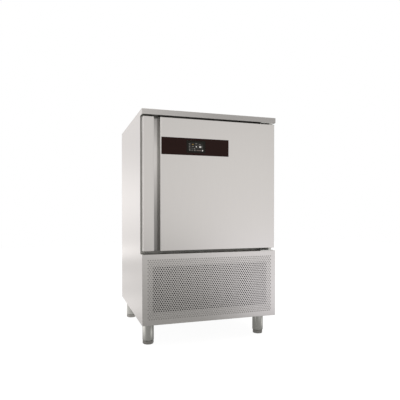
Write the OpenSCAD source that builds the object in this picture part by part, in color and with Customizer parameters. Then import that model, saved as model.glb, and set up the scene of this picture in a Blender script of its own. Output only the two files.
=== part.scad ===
// Commercial blast chiller: an insulated chamber for eight trays, with one door,
// over a machine compartment, on four adjustable feet.
// Seen from the front, +X is to the right, where the door is hinged, the front faces -Y and
// +Z is up. The origin is the middle of the footprint, at ground level. Lengths are millimetres.

/* [Cabinet] */
// Overall width
body_w = 790; // [780:5:860]
// Overall depth, front plane to rear edge
body_d = 800; // [795:5:880]
// Overall height with the feet screwed fully in
total_h = 1290; // [1285:5:1380]
// Height of the cabinet's underside above the ground
leg_h = 131; // [126:1:150]
// Height of the lower front panel
lower_panel_h = 381; // [376:1:400]
// Height of the apron above the door
apron_h = 30; // [26:1:40]
// Distance from the front plane back to the frame round the chamber's mouth
frame_setback = 60; // [58:1:66]
// Depth at which the rear panels lie in from the rear edge
rear_recess = 15; // [14:1:18]
// Thickness of the stainless sheet
sheet_t = 1.2; // [0.8:0.1:1.5]

/* [Chamber] */
// Side wall, both sheets included
side_wall_t = 65; // [60:1:68]
// Floor wall, both sheets included
floor_wall_t = 73; // [66:1:78]
// Roof wall, both sheets included
roof_wall_t = 75; // [68:1:80]
// Rear wall, both sheets included
rear_wall_t = 45; // [40:1:50]

/* [Tray racks] */
// Height from one level to the next
tray_pitch = 70; // [60:1:72]
// Height of the first level above the chamber floor
first_level = 48; // [40:1:54]
// Least height from the last level to the chamber's roof
top_level_gap = 60; // [50:1:90]
// Distance from the chamber's side to a runner's web
web_setback = 27.5; // [24:0.5:29]
// Width of a runner's shelf, from its web to its inner edge
runner_w = 47.5; // [40:0.5:52]
// Height of a runner's web
web_h = 16; // [12:1:18]
// Width of a rack post along the runners
post_w = 30; // [24:1:36]

/* [Door] */
// Side gap between the door and the cabinet's width
door_gap_side = 7; // [5:0.5:10]
// Gap between the lower panel's top and the door
door_gap_low = 17; // [15:0.5:20]
// Gap between the door and the apron
door_gap_high = 10; // [9:0.5:13]
// Depth at which the door's face lies behind the front plane
door_reveal = 1; // [1:0.1:2]
// Thickness of the compressed gasket
gasket_t = 10; // [8:0.5:12]
// Width of the gasket
gasket_w = 24; // [18:1:26]
// Distance from the chamber's mouth out to the gasket
gasket_lap = 8; // [5:1:9]
// Width of the pan left of the grip channel
strip_w = 58; // [50:1:66]
// Width of the grip channel at the door's face
channel_w = 39; // [36:1:46]
// Depth of the grip channel
channel_depth = 45; // [40:0.5:46]
// Width by which the channel's right wall closes in towards its bottom
channel_draft = 7; // [4:1:9]
// Bevel of the channel's right edge
channel_bevel = 5; // [3:0.5:6]

/* [Control panel] */
// Width of the dark fascia
fascia_w = 389; // [340:1:400]
// Height of the fascia
fascia_h = 93.5; // [88:0.5:110]
// Distance from the door's top edge down to the fascia
fascia_drop = 105.5; // [80:0.5:140]
// Width of the display
display_w = 108; // [90:1:116]
// Height of the display
display_h = 66; // [54:1:72]
// Distance from the fascia's left edge to the display's middle
display_x = 195.5; // [150:0.5:210]
// Depth of the controller housing behind the display
controller_depth = 32; // [24:1:36]

/* [Hinges] */
// Distance of the door's pivot from its right edge
pivot_in = 22; // [20:0.5:23]
// Distance of the pivot behind the door's face
pivot_back = 19; // [17:0.5:21]
// Radius of the pivot pins
pin_r = 5; // [4:0.5:6]
// Length of a pin inside its bush
pin_len = 18; // [14:1:20]
// Wall of the nylon bushes
bush_wall = 4; // [3:0.5:5]

/* [Perforated panel] */
// Distance between holes in a row
hole_pitch = 26.4; // [24:0.1:40]
// Distance between rows of holes, which are staggered
hole_row = 20.5; // [20:0.1:36]
// Diameter of a hole
hole_d = 14; // [10:0.5:15]
// Plain border round the holes, at the sides
perf_border_side = 27; // [20:1:40]
// Plain border above and below the holes
perf_border_end = 27; // [20:1:36]

/* [Fans] */
// Height left above and below the chamber's fan openings
fan_end_gap = 34; // [30:1:44]
// Half the height between the chamber's fan openings
fan_mid_gap = 27; // [20:1:36]
// Distance from the condenser coil's sides to its fan's opening
fan_side_gap = 33; // [24:1:40]
// Gap between the blades and the edge of their opening
fan_rim_gap = 7; // [5:0.5:10]
// Number of blades
fan_blades = 5; // [3:1:7]
// Tilt of the blades
blade_tilt = 24; // [15:1:26]

/* [Cooling circuit] */
// Radius of the compressor's shell
compressor_r = 92; // [80:1:96]
// Height of the compressor's shell
compressor_h = 230; // [200:1:240]
// Height from the condenser's shroud up to the front shelf's lip
condenser_headroom = 17.6; // [12:0.1:60]
// Distance from the condenser's shroud to the compressor's middle
condenser_compressor_gap = 178.5; // [150:0.5:190]
// Depth of the condenser coil
condenser_d = 50; // [40:1:54]
// Radius of the liquid receiver
receiver_r = 42; // [34:1:44]
// Radius of the suction pipe
suction_r = 9; // [7:0.5:10]
// Radius of the discharge pipe
discharge_r = 6; // [5:0.5:7]
// Radius of the liquid pipe
liquid_r = 5; // [4:0.5:6]

/* [Feet] */
// Radius of a leg sleeve
sleeve_r = 32; // [29:0.5:34]
// Height of the foot pad below its sleeve
pad_h = 20; // [16:1:30]
// Radius of the hexagonal foot pad, out to its corners
pad_r = 32; // [28:0.5:34]
// Radius of the foot's screw
screw_r = 8; // [6:0.5:10]
// Distance of the front feet behind the front plane
foot_front = 120; // [110:1:160]
// Distance of the rear feet in from the rear edge
foot_rear = 75; // [60:1:110]
// Distance of the feet in from the cabinet's sides
foot_side = 55; // [50:1:60]

/* [Services] */
// Outer radius of the drain spigot
drain_r = 12.5; // [10:0.5:14]
// Bore radius of the cable gland
gland_bore_r = 6.5; // [5:0.5:8]

/* [Hidden] */
$fn = 48;

// Clearances
run_gap = 0.05;     // radial gap of a shaft or screw in its bore
seat_gap = 0.3;     // gap between pieces that meet but are not joined
plate_t = 1.5;      // sheet of brackets and fan plates
eps = 1;            // overshoot of a cut past a face

// Cabinet planes
x_left = -body_w / 2;
x_right = body_w / 2;
y_front = -body_d / 2;
y_rear = body_d / 2;
z_base = leg_h;
z_shelf = z_base + lower_panel_h;
z_apron = total_h - apron_h;
y_frame = y_front + frame_setback;
y_skin = y_front + sheet_t;           // back face of the front sheets
x_in = x_right - sheet_t;             // inner face of the side sheets
y_back = y_rear - rear_recess;        // rear face of the rear panels
z_roof = total_h - sheet_t;           // underside of the top sheet
z_floor = z_base + sheet_t;           // floor of the machine compartment
z_ceiling = z_shelf - sheet_t;        // ceiling of the machine compartment

// Chamber: inner faces of its liner
ch_x = x_right - side_wall_t;
ch_z0 = z_shelf + floor_wall_t;
ch_z1 = total_h - roof_wall_t;
ch_y0 = y_frame + sheet_t;
ch_y1 = y_back - rear_wall_t;
ch_mid = (ch_z0 + ch_z1) / 2;

// Fan wall and evaporator, from the rear of the chamber to the front
guard_lift = 15;                      // from the fan plate to the guard
guard_t = 2;
fan_hole_r = ((ch_z1 - ch_z0) / 2 - fan_end_gap - fan_mid_gap) / 2;
fan_r = fan_hole_r - fan_rim_gap;
fan_spread = fan_mid_gap + fan_hole_r; // from the chamber's middle height to each fan
fan_depth = 24;
fan_front = 10;                       // by which a rotor stands before its plate
hub_r = 30;
shaft_r = 5;
motor_gap = 16;                       // from a fan plate to its motor's arms
arm_t = 3;
arm_w = 12;
arm_lap = 13;                         // by which the arms reach past their opening's edge
motor_r = 42;
motor_h = 58;
coil_d = 110;
coil_rear_gap = 37;                   // from the coil to the chamber's rear
coil_side_gap = 33;                   // from the coil's end plates to the chamber's sides
coil_lift = 30;
motor_coil_gap = 16;                  // from the motors to the coil
rack_guard_gap = 8;                   // from the racks to the fan guards
rack_front_gap = 25;                  // from the chamber's mouth to the racks
coil_x = ch_x - coil_side_gap;
coil_y0 = ch_y1 - coil_rear_gap - coil_d;
fan_y = coil_y0 - motor_coil_gap - motor_h - arm_t - motor_gap;
fin_t = 0.8;
fin_web = 2;

// Tray racks, between the chamber's mouth and the fan guards
rack_y0 = y_frame + rack_front_gap;
rack_y1 = fan_y - guard_lift - guard_t - rack_guard_gap;
runner_len = rack_y1 - rack_y0;
tray_levels = floor((ch_z1 - ch_z0 - first_level - top_level_gap) / tray_pitch) + 1;

// Machine compartment
shelf_lip = 18;                       // height of the front shelf's stiffening lip
rail_w = 52;
rail_h = 25;
rail_t = 2;
foot_x = x_right - foot_side;
compressor_side = 195;                // from the cabinet's right side to the compressor's middle
compressor_back = 265;                // from the rear panels to the compressor's middle
compressor_x = x_right - compressor_side;
compressor_y = y_back - compressor_back;
shroud_side = 93.5;                   // from the cabinet's left side to the condenser's shroud
shroud_front = 15;                    // from the front plane to the condenser's shroud
shroud_x0 = x_left + shroud_side;
shroud_x1 = compressor_x - condenser_compressor_gap;
shroud_y0 = y_front + shroud_front;
condenser_w = shroud_x1 - shroud_x0 - 2 * plate_t;
condenser_h = z_ceiling - shelf_lip - condenser_headroom - 2 * plate_t - z_floor;
coil_gap = 43.5;                      // from the condenser coil to its fan plate
cond_hole_r = condenser_w / 2 - fan_side_gap;
cond_fan_y = shroud_y0 + condenser_d + coil_gap;
cond_fan_x = (shroud_x0 + shroud_x1) / 2;
cond_fan_z = z_floor + plate_t + condenser_h / 2;
grommet_r = 12;
grommet_h = 18;
mount_plate = 178;
mount_plate_t = 3;
compressor_z = z_floor + grommet_h + mount_plate_t;
receiver_side = 48.5;                 // from the condenser's shroud to the receiver's middle
receiver_front = 250;                 // from the front plane to the receiver's middle
receiver_x = shroud_x1 + receiver_side;
receiver_y = y_front + receiver_front;
receiver_h = 200;
drier_r = 20;
drier_gap = 90;                       // from the receiver's middle to the drier
drier_y0 = receiver_y + drier_gap;
drier_len = 120;
drier_z = z_floor + 243;
valve_r = 13;
valve_z = ch_z0 + 105;
valve_h = 40;
riser_x = (coil_x + fin_t + ch_x) / 2 - 0.4;
suction_y = coil_y0 + 47;
liquid_y = coil_y0 + 103;
pipe_slip = 0.5;                      // radial gap of a pipe in a wall
suction_z = z_ceiling - 56;
suction_rise = 55;                    // from the chamber's floor to the suction pipe's outlet
suction_bend = 14;
suction_side = 16;                    // of the pipe's place on the compressor from its middle
discharge_z = z_ceiling - 71;
discharge_bend = 16;
discharge_side = 18;                  // of the pipe's place on the compressor from its middle
discharge_out_y = shroud_y0 + condenser_d / 2;
bend_gap = 15;                        // of a coil's tube rows from its middle

// Electrical box on the right side sheet
ebox_d = 60;
ebox_y = y_front + 100;
ebox_w = 180;
ebox_h = 118;
ebox_z = z_ceiling - 180;

// Services
drain_x = -60;
drain_y = 0;
drain_wall = 2.5;
drain_step = 1;                       // by which the tube is thinner than the spigot
drain_bore_r = drain_r - drain_wall;
drain_tube_r = drain_r - drain_step;
drain_stub = 25;
drain_flange_w = 12;
drain_flange_t = 2;
gland_x = x_right - 95;
gland_z = z_floor + 58;
gland_r = 10;
gland_nut_r = 15;

// Door planes
door_x0 = x_left + door_gap_side;
door_x1 = x_right - door_gap_side;
door_z0 = z_shelf + door_gap_low;
door_z1 = z_apron - door_gap_high;
door_y0 = y_front + door_reveal;
door_y1 = y_frame - gasket_t;
pan_back = door_y1 - sheet_t;         // front face of the door's inner panel
strip_x = door_x0 + strip_w;          // left wall of the grip channel
edge_x = strip_x + channel_w;         // right edge of the grip channel, at the door's face
wall_x = edge_x - channel_bevel;      // where the bevel meets the channel's right wall
root_x = wall_x - channel_draft;      // the right wall at the channel's bottom
channel_y = door_y0 + channel_depth;
pivot = [door_x1 - pivot_in, door_y0 + pivot_back];
bush_r = pin_r + bush_wall;
bush_len = pin_len + 6;
bush_flange_r = bush_r + 4;
flange_low = 3;
flange_high = 2;
bracket_t_low = 4;
bracket_t_high = 3;
fascia_x0 = edge_x + 0.5;
fascia_z1 = door_z1 - fascia_drop;
fascia_z0 = fascia_z1 - fascia_h;
display_cx = fascia_x0 + display_x;
display_cz = (fascia_z0 + fascia_z1) / 2;
housing_lap = 5;                      // by which the controller housing passes the display

// Shades
steel = [0.80, 0.79, 0.77];
steel_side = [0.87, 0.86, 0.85];
steel_dark = [0.60, 0.59, 0.58];
galvanised = [0.66, 0.68, 0.70];
foam_tan = [0.88, 0.82, 0.62];
copper = [0.72, 0.45, 0.30];
black = [0.10, 0.10, 0.10];
fascia_black = [0.14, 0.10, 0.09];
grey_plastic = [0.55, 0.54, 0.52];

// ---------------------------------------------------------------- shared shapes

// A block between two corners
module block(low, high) {
    translate(low) cube(high - low);
}

// A flat sheet outline given as [y, z], extruded along +X from x
module profile_yz(x, thick) {
    translate([x, 0, 0]) rotate([90, 0, 90]) linear_extrude(thick) children();
}

// A flat outline given as [x, z], extruded towards +Y from y
module profile_xz(y, thick) {
    translate([0, y + thick, 0]) rotate([90, 0, 0]) linear_extrude(thick) children();
}

// Children stand along the line from a to b
module aim(a, b) {
    d = b - a;
    translate(a) rotate([0, acos(d.z / norm(d)), atan2(d.y, d.x)]) children();
}

function unit(v) = v / norm(v);

// A quarter ring that turns a pipe from direction u to direction v at a corner
module elbow(corner, u, v, bend_r, r) {
    c = corner - bend_r * u + bend_r * v;
    w = cross(u, v);
    multmatrix([[-v.x, u.x, w.x, c.x], [-v.y, u.y, w.y, c.y], [-v.z, u.z, w.z, c.z], [0, 0, 0, 1]])
        rotate_extrude(angle = 90) translate([bend_r, 0]) circle(r = r);
}

// A pipe along square corners
module pipe(points, r, bend_r) {
    last = len(points) - 1;
    for (i = [0:last - 1]) {
        u = unit(points[i + 1] - points[i]);
        a = points[i] + (i == 0 ? 0 : bend_r) * u;
        b = points[i + 1] - (i == last - 1 ? 0 : bend_r) * u;
        aim(a, b) cylinder(r = r, h = norm(b - a));
        if (i < last - 1) elbow(points[i + 1], u, unit(points[i + 2] - points[i + 1]), bend_r, r);
    }
}

// Outline of a fin pack seen along its fins: plates on a thin web
function fin_outline(count, pitch, depth) = concat(
    [for (i = [0:count - 1], p = [[0, fin_web], [0, depth], [fin_t, depth], [fin_t, fin_web]])
        [i * pitch + p.x, p.y / 2]],
    [for (i = [count - 1:-1:0], p = [[fin_t, fin_web], [fin_t, depth], [0, depth], [0, fin_web]])
        [i * pitch + p.x, -p.y / 2]]);

// A half ring standing out of an end plate towards side * X, joining two tubes one above the other
module return_bend(at, side, bend_r, r) {
    multmatrix([[0, side, 0, at.x], [0, 0, side, at.y], [1, 0, 0, at.z], [0, 0, 0, 1]])
        rotate_extrude(angle = 180) translate([bend_r, 0]) circle(r = r, $fn = 24);
}

// Children are turned so that +Z points to the rear
module facing_rear(at) {
    translate(at) rotate([-90, 0, 0]) children();
}

// Fan rotor with its shaft, the fan plate's front face being at z = 0
module fan_rotor(r) {
    blade_w = min(2 * PI * hub_r / fan_blades * 1.4, (fan_depth - 3) / sin(blade_tilt));
    translate([0, 0, -fan_front]) cylinder(r = hub_r, h = fan_depth);
    translate([0, 0, fan_depth / 2 - fan_front]) for (i = [0:fan_blades - 1])
        rotate([0, 0, i * 360 / fan_blades]) intersection() {
            cylinder(r = r, h = fan_depth, center = true);
            rotate([blade_tilt, 0, 0]) translate([hub_r - 4, -blade_w / 2, -1])
                cube([r, blade_w, 2]);
        }
    cylinder(r = shaft_r, h = motor_gap + arm_t + motor_h * 0.7);
}

// Fan motor with its bore and its four arms round an opening, the fan plate's front face being at z = 0
module fan_motor(hole_r) {
    arm_r = hole_r + arm_lap;
    difference() {
        union() {
            translate([0, 0, motor_gap]) cylinder(r = motor_r, h = arm_t + motor_h);
            for (i = [0:3]) rotate([0, 0, 45 + 90 * i]) {
                translate([motor_r - 4, -arm_w / 2, motor_gap]) cube([arm_r - motor_r + 4, arm_w, arm_t]);
                translate([arm_r - 9, -arm_w / 2, plate_t]) cube([9, arm_w, motor_gap + arm_t - plate_t]);
            }
        }
        translate([0, 0, motor_gap - eps]) cylinder(r = shaft_r + run_gap, h = eps + arm_t + motor_h * 0.75);
    }
}

// ---------------------------------------------------------------- cabinet shell

// Side sheet, cut back beside the door
module side_panel(x) {
    color(steel_side) profile_yz(x, sheet_t) polygon([
        [y_skin, z_base], [y_rear, z_base], [y_rear, z_roof], [y_skin, z_roof],
        [y_skin, z_apron], [y_frame, z_apron], [y_frame, z_shelf], [y_skin, z_shelf]]);
}

module side_panel_left() {
    side_panel(x_left);
}

module side_panel_right() {
    side_panel(x_in);
}

// Top sheet, folded down into the apron and back under it
module top_panel() {
    color(steel_dark) {
        block([x_left, y_front, z_roof], [x_right, y_rear, total_h]);
        block([x_left, y_front, z_apron], [x_right, y_skin, z_roof]);
        block([-x_in, y_skin, z_apron], [x_in, ch_y0, z_apron + sheet_t]);
    }
}

module back_panel() {
    color(galvanised) block([-x_in, y_back - sheet_t, z_ceiling], [x_in, y_back, z_roof]);
}

// Sheet between the door and the lower panel, with a stiffening lip
module front_shelf() {
    color(steel) {
        block([-x_in, y_skin, z_ceiling], [x_in, y_frame, z_shelf]);
        block([-x_in, y_frame - sheet_t, z_ceiling - shelf_lip], [x_in, y_frame, z_ceiling]);
    }
}

// Lower front panel with staggered rows of round holes
module front_grille_panel() {
    field_w = body_w - 2 * perf_border_side;
    field_h = lower_panel_h - 2 * perf_border_end;
    cols = floor((field_w - hole_d) / hole_pitch) + 1;
    rows = floor((field_h - hole_d) / hole_row) + 1;
    color(steel) profile_xz(y_front, sheet_t) difference() {
        translate([x_left, z_base]) square([body_w, lower_panel_h]);
        for (row = [0:rows - 1]) for (col = [0:cols - 1 - row % 2])
            translate([
                (col - (cols - 1 - row % 2) / 2) * hole_pitch,
                z_base + lower_panel_h / 2 + (row - (rows - 1) / 2) * hole_row]) circle(d = hole_d);
    }
}

// Four strips behind the panel's border, which leave the middle of the field open
frame_outer = 10;                      // from the panel's edges to the strips
frame_side = 57;                       // from the panel's edges to the opening's sides
frame_low = 69;                        // from the panel's foot to the opening
frame_high = 64;                       // from the panel's top to the opening
module grille_backing_frame() {
    y1 = y_skin + plate_t;
    ox = x_right - frame_outer;
    ix = x_right - frame_side;
    color(galvanised) {
        block([-ox, y_skin, z_base + frame_outer], [ox, y1, z_base + frame_low]);
        block([-ox, y_skin, z_shelf - frame_high], [ox, y1, z_ceiling - frame_outer]);
        for (x = [-ox, ix])
            block([x, y_skin, z_base + frame_low + seat_gap],
                [x + ox - ix, y1, z_shelf - frame_high - seat_gap]);
    }
}

// Foam mat on the back of the strips, which keeps dust off the condenser
filter_t = 5;
filter_lap = 8;                        // by which the mat reaches past the opening
module condenser_filter() {
    x = x_right - frame_side + filter_lap;
    y = y_skin + plate_t;
    color(black) block([-x, y, z_base + frame_low - filter_lap],
        [x, y + filter_t, z_shelf - frame_high + filter_lap]);
}

// Rear cover of the machine compartment, with two rows of upright slots
slot_w = 8;
slot_h = 110;
slot_pitch = 26;
slot_count = 18;
module rear_service_panel() {
    mid = (z_floor + z_ceiling) / 2;
    color(galvanised) difference() {
        profile_xz(y_back - sheet_t, sheet_t) difference() {
            translate([-x_in, z_floor]) square([2 * x_in, z_ceiling - z_floor]);
            for (i = [0:slot_count - 1], z = [mid - slot_h - 12, mid + 12])
                translate([(i - slot_count / 2) * slot_pitch, z]) square([slot_w, slot_h]);
        }
        facing_rear([gland_x, y_back - sheet_t - eps, gland_z])
            cylinder(r = gland_r + run_gap, h = sheet_t + 2 * eps);
    }
}

module base_plate() {
    color(galvanised) difference() {
        block([-x_in, y_skin, z_base], [x_in, y_rear, z_floor]);
        translate([drain_x, drain_y, z_base - eps])
            cylinder(r = drain_tube_r + pipe_slip, h = sheet_t + 2 * eps);
    }
}

// Two folded rails over the legs
module base_rails() {
    color(galvanised) for (side = [-1, 1])
        difference() {
            block([side * foot_x - rail_w / 2, y_skin + 8, z_floor],
                [side * foot_x + rail_w / 2, y_back - 8, z_floor + rail_h]);
            block([side * foot_x - rail_w / 2 + rail_t, y_skin, z_floor - eps],
                [side * foot_x + rail_w / 2 - rail_t, y_back, z_floor + rail_h - rail_t]);
        }
}

// Cuts for the pipes and the drain through the chamber's floor
module floor_cuts(z0, z1) {
    drops = [
        [riser_x, suction_y, suction_r],
        [riser_x, liquid_y, liquid_r],
        [drain_x, drain_y, drain_tube_r]];
    for (p = drops)
        translate([p.x, p.y, z0 - eps]) cylinder(r = p.z + pipe_slip, h = z1 - z0 + 2 * eps);
}

module compartment_ceiling() {
    color(galvanised) difference() {
        block([-x_in, y_frame, z_ceiling], [x_in, y_back - sheet_t, z_shelf]);
        floor_cuts(z_ceiling, z_shelf);
    }
}

// The liner's outer form, from y0 back
module liner_block(y0) {
    block([-ch_x - sheet_t, y0, ch_z0 - sheet_t], [ch_x + sheet_t, ch_y1 + sheet_t, ch_z1 + sheet_t]);
}

// Rigid foam between the outer sheets and the liner, and inside the apron
module cabinet_insulation() {
    color(foam_tan) difference() {
        union() {
            block([-x_in, ch_y0, z_shelf], [x_in, y_back - sheet_t, z_roof]);
            block([-x_in, y_skin, z_apron + sheet_t], [x_in, ch_y0, z_roof]);
        }
        liner_block(ch_y0 - eps);
        floor_cuts(z_shelf, ch_z0);
    }
}

module chamber_liner() {
    color(steel) difference() {
        liner_block(ch_y0);
        block([-ch_x, ch_y0 - eps, ch_z0], [ch_x, ch_y1, ch_z1]);
        floor_cuts(ch_z0 - sheet_t, ch_z0);
    }
}

// Frame round the chamber's mouth, which the gasket meets
module front_frame() {
    color(grey_plastic) profile_xz(y_frame, sheet_t) difference() {
        translate([-x_in, z_shelf]) square([2 * x_in, z_apron - z_shelf]);
        translate([-ch_x, ch_z0]) square([2 * ch_x, ch_z1 - ch_z0]);
    }
}

// ---------------------------------------------------------------- hinges

bracket_reach = 66;                    // from the pivot to a bracket's left end
bracket_end = 18;                      // from the pivot to a bracket's right end
bracket_half = 22;                     // half the width of a bracket
collar_r = 11;
hinge_screw_r = 5;
hinge_screw_h = 2.5;
hinge_screw_in = 10;                   // from a bracket's left end to its first screw
hinge_screw_step = 20;
hinge_screw_back = 3;                  // from the pivot back to the screws
bracket_shift = 4;                     // by which a bracket's front edge lies further in

// Plate on the front shelf with a collar and an upright pin
module hinge_bracket_bottom() {
    z1 = z_shelf + bracket_t_low;
    collar_top = door_z0 - flange_low - seat_gap;
    color(steel) {
        block([pivot.x - bracket_reach, pivot.y - bracket_half + bracket_shift, z_shelf],
            [pivot.x + bracket_end, pivot.y + bracket_half, z1]);
        translate([pivot.x, pivot.y, z_shelf]) cylinder(r = collar_r, h = collar_top - z_shelf);
        translate([pivot.x, pivot.y, z_shelf]) cylinder(r = pin_r, h = door_z0 + pin_len - z_shelf);
    }
}

// Plate under the apron with a hanging pin
module hinge_bracket_top() {
    color(steel) {
        block([pivot.x - bracket_reach, pivot.y - bracket_half + bracket_shift, z_apron - bracket_t_high],
            [pivot.x + bracket_end, pivot.y + bracket_half, z_apron]);
        translate([pivot.x, pivot.y, door_z1 - pin_len]) cylinder(r = pin_r, h = z_apron - door_z1 + pin_len);
    }
}

// Screw heads on the two brackets
module hinge_screws() {
    x0 = pivot.x - bracket_reach + hinge_screw_in;
    y = pivot.y + hinge_screw_back;
    for (x = [x0, x0 + hinge_screw_step], z = [z_shelf + bracket_t_low, z_apron - bracket_t_high - hinge_screw_h])
        color(steel_dark) translate([x, y, z]) cylinder(r = hinge_screw_r, h = hinge_screw_h);
}

// ---------------------------------------------------------------- chamber fittings

// Rack on one side: two posts against the liner and one runner a level
module tray_rack(side) {
    web_x = ch_x - web_setback;
    post_x0 = web_x + plate_t + seat_gap;
    low = ch_z0 + first_level;
    color(steel) {
        for (y = [rack_y0, rack_y1 - post_w])
            translate([side > 0 ? post_x0 : -ch_x, y, ch_z0])
                cube([ch_x - post_x0, post_w, low + (tray_levels - 1) * tray_pitch + 20 - ch_z0]);
        for (i = [0:tray_levels - 1]) {
            z = low + i * tray_pitch;
            translate([side > 0 ? web_x - runner_w : -web_x - plate_t, rack_y0, z - plate_t])
                cube([runner_w + plate_t, runner_len, plate_t]);
            translate([side > 0 ? web_x : -web_x - plate_t, rack_y0, z - web_h])
                cube([plate_t, runner_len, web_h - plate_t]);
        }
    }
}

module tray_rack_left() {
    tray_rack(-1);
}

module tray_rack_right() {
    tray_rack(1);
}

fan_z = [ch_mid - fan_spread, ch_mid + fan_spread];
deflector_gap = 25;                    // air gap between the fan wall and the liner's sides
ear_h = 30;

// Fan wall on four ears, with a round opening for each fan
module air_deflector() {
    half = ch_x - deflector_gap;
    color(steel) profile_xz(fan_y, plate_t) difference() {
        union() {
            translate([-half, ch_z0]) square([2 * half, ch_z1 - ch_z0]);
            for (z = [ch_z0 + 60, ch_z1 - 60 - ear_h]) translate([-ch_x, z]) square([2 * ch_x, ear_h]);
        }
        for (z = fan_z) translate([0, z]) circle(r = fan_hole_r);
    }
}

// Guard over each fan opening: flat rings and bars on four stand-offs
ring_w = 3;
guard_r = fan_hole_r + 9;
module fan_guards() {
    color(steel_dark) for (z = fan_z) facing_rear([0, fan_y, z]) {
        translate([0, 0, -guard_lift - guard_t]) linear_extrude(guard_t) {
            for (r = [guard_r:-22:30]) difference() {
                circle(r = r);
                circle(r = r - ring_w);
            }
            for (i = [0:3]) rotate(45 * i) translate([-guard_r + 1, -ring_w / 2])
                square([2 * guard_r - 2, ring_w]);
        }
        for (i = [0:3]) rotate([0, 0, 90 * i]) translate([guard_r - 4, 0, -guard_lift])
            cylinder(r = 3, h = guard_lift);
    }
}

module evaporator_fan_motors() {
    color(black) for (z = fan_z) facing_rear([0, fan_y, z]) fan_motor(fan_hole_r);
}

module evaporator_fan_lower() {
    color(steel_dark) facing_rear([0, fan_y, fan_z[0]]) fan_rotor(fan_r);
}

module evaporator_fan_upper() {
    color(steel_dark) facing_rear([0, fan_y, fan_z[1]]) fan_rotor(fan_r);
}

evaporator_fin_pitch = 12;
coil_top = ch_z1 - 30;

// Evaporator: a fin pack between two end plates that stand on the chamber's floor
module evaporator_fins() {
    count = floor((2 * coil_x - fin_t) / evaporator_fin_pitch) + 1;
    half = ((count - 1) * evaporator_fin_pitch + fin_t) / 2;
    y_mid = coil_y0 + coil_d / 2;
    color(galvanised) {
        translate([-half, y_mid, ch_z0 + coil_lift]) linear_extrude(coil_top - ch_z0 - coil_lift)
            polygon(fin_outline(count, evaporator_fin_pitch, coil_d));
        for (x = [-coil_x - plate_t, coil_x])
            block([x, coil_y0, ch_z0], [x + plate_t, coil_y0 + coil_d, coil_top]);
        block([-coil_x, y_mid - fin_web / 2, ch_z0 + coil_lift], [coil_x, y_mid + fin_web / 2, coil_top]);
    }
}

evaporator_bend_r = 17;
module evaporator_return_bends() {
    tube_r = 5;
    pitch = 4 * evaporator_bend_r;
    count = floor((coil_top - ch_z0 - 2 * coil_lift) / pitch);
    rows = [coil_y0 + coil_d / 2 - 2 * bend_gap, coil_y0 + coil_d / 2 + 1.5 * bend_gap];
    color(copper) for (side = [-1, 1], y = rows, i = [0:count - 1])
        return_bend([side * (coil_x + plate_t), y, ch_z0 + 2 * coil_lift + i * pitch], side,
            evaporator_bend_r, tube_r);
}

// Drain through the chamber's floor and the compartment, with a spigot under the base
module chamber_drain() {
    z0 = z_base - drain_stub;
    color(grey_plastic) translate([drain_x, drain_y, 0]) difference() {
        union() {
            translate([0, 0, z0]) cylinder(r = drain_r, h = drain_stub);
            translate([0, 0, z_base]) cylinder(r = drain_tube_r, h = ch_z0 - z_base);
            translate([0, 0, ch_z0]) cylinder(r = drain_r + drain_flange_w, h = drain_flange_t);
        }
        translate([0, 0, z0 - eps]) cylinder(r = drain_bore_r, h = ch_z0 - z0 + drain_flange_t + 2 * eps);
    }
}

// Inlet of the core probe, on the right wall
probe_r = 16;
module probe_socket() {
    color(black) translate([ch_x - 8, y_frame + 95, ch_z1 - 40]) rotate([0, 90, 0]) difference() {
        cylinder(r = probe_r, h = 8);
        translate([0, 0, -eps]) cylinder(r = 4, h = 6 + eps);
    }
}

// ---------------------------------------------------------------- machine compartment

// Hermetic compressor: a domed shell on its mounting plate, with a terminal box
module compressor() {
    r = compressor_r;
    dome = 45;
    flat_r = r - dome;
    color(black) translate([compressor_x, compressor_y, compressor_z]) {
        rotate_extrude($fn = 96) polygon(concat(
            [[0, 0], [r - 14, 0]],
            [for (a = [15:15:90]) [r - 14 + 14 * sin(a), 14 - 14 * cos(a)]],
            [for (a = [0:15:90]) [flat_r + dome * cos(a), compressor_h - dome + dome * sin(a)]],
            [[0, compressor_h]]));
        block([-mount_plate / 2, -mount_plate / 2, -mount_plate_t], [mount_plate / 2, mount_plate / 2, 0]);
        block([-30, r - 12, 70], [30, r + 24, 150]);
    }
}

module compressor_grommets() {
    d = mount_plate / 2 - grommet_r - 3;
    color([0.2, 0.2, 0.2]) for (x = [-d, d], y = [-d, d])
        translate([compressor_x + x, compressor_y + y, z_floor]) cylinder(r = grommet_r, h = grommet_h);
}

condenser_fin_pitch = 8;
module condenser_fins() {
    count = floor((condenser_w - fin_t) / condenser_fin_pitch) + 1;
    half = ((count - 1) * condenser_fin_pitch + fin_t) / 2;
    y_mid = shroud_y0 + condenser_d / 2;
    x0 = shroud_x0 + plate_t;
    color(galvanised) {
        translate([cond_fan_x - half, y_mid, z_floor + plate_t]) linear_extrude(condenser_h)
            polygon(fin_outline(count, condenser_fin_pitch, condenser_d));
        block([x0, y_mid - fin_web / 2, z_floor + plate_t],
            [x0 + condenser_w, y_mid + fin_web / 2, z_floor + plate_t + condenser_h]);
    }
}

condenser_bend_r = 14;
module condenser_return_bends() {
    tube_r = 4;
    pitch = 4 * condenser_bend_r;
    count = floor((condenser_h - 60) / pitch);
    y_mid = shroud_y0 + condenser_d / 2;
    color(copper) for (side = [-1, 1], y = [y_mid - bend_gap, y_mid + bend_gap], i = [0:count - 1])
        return_bend([side < 0 ? shroud_x0 : shroud_x1, y, z_floor + 60 + i * pitch], side,
            condenser_bend_r, tube_r);
}

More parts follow.
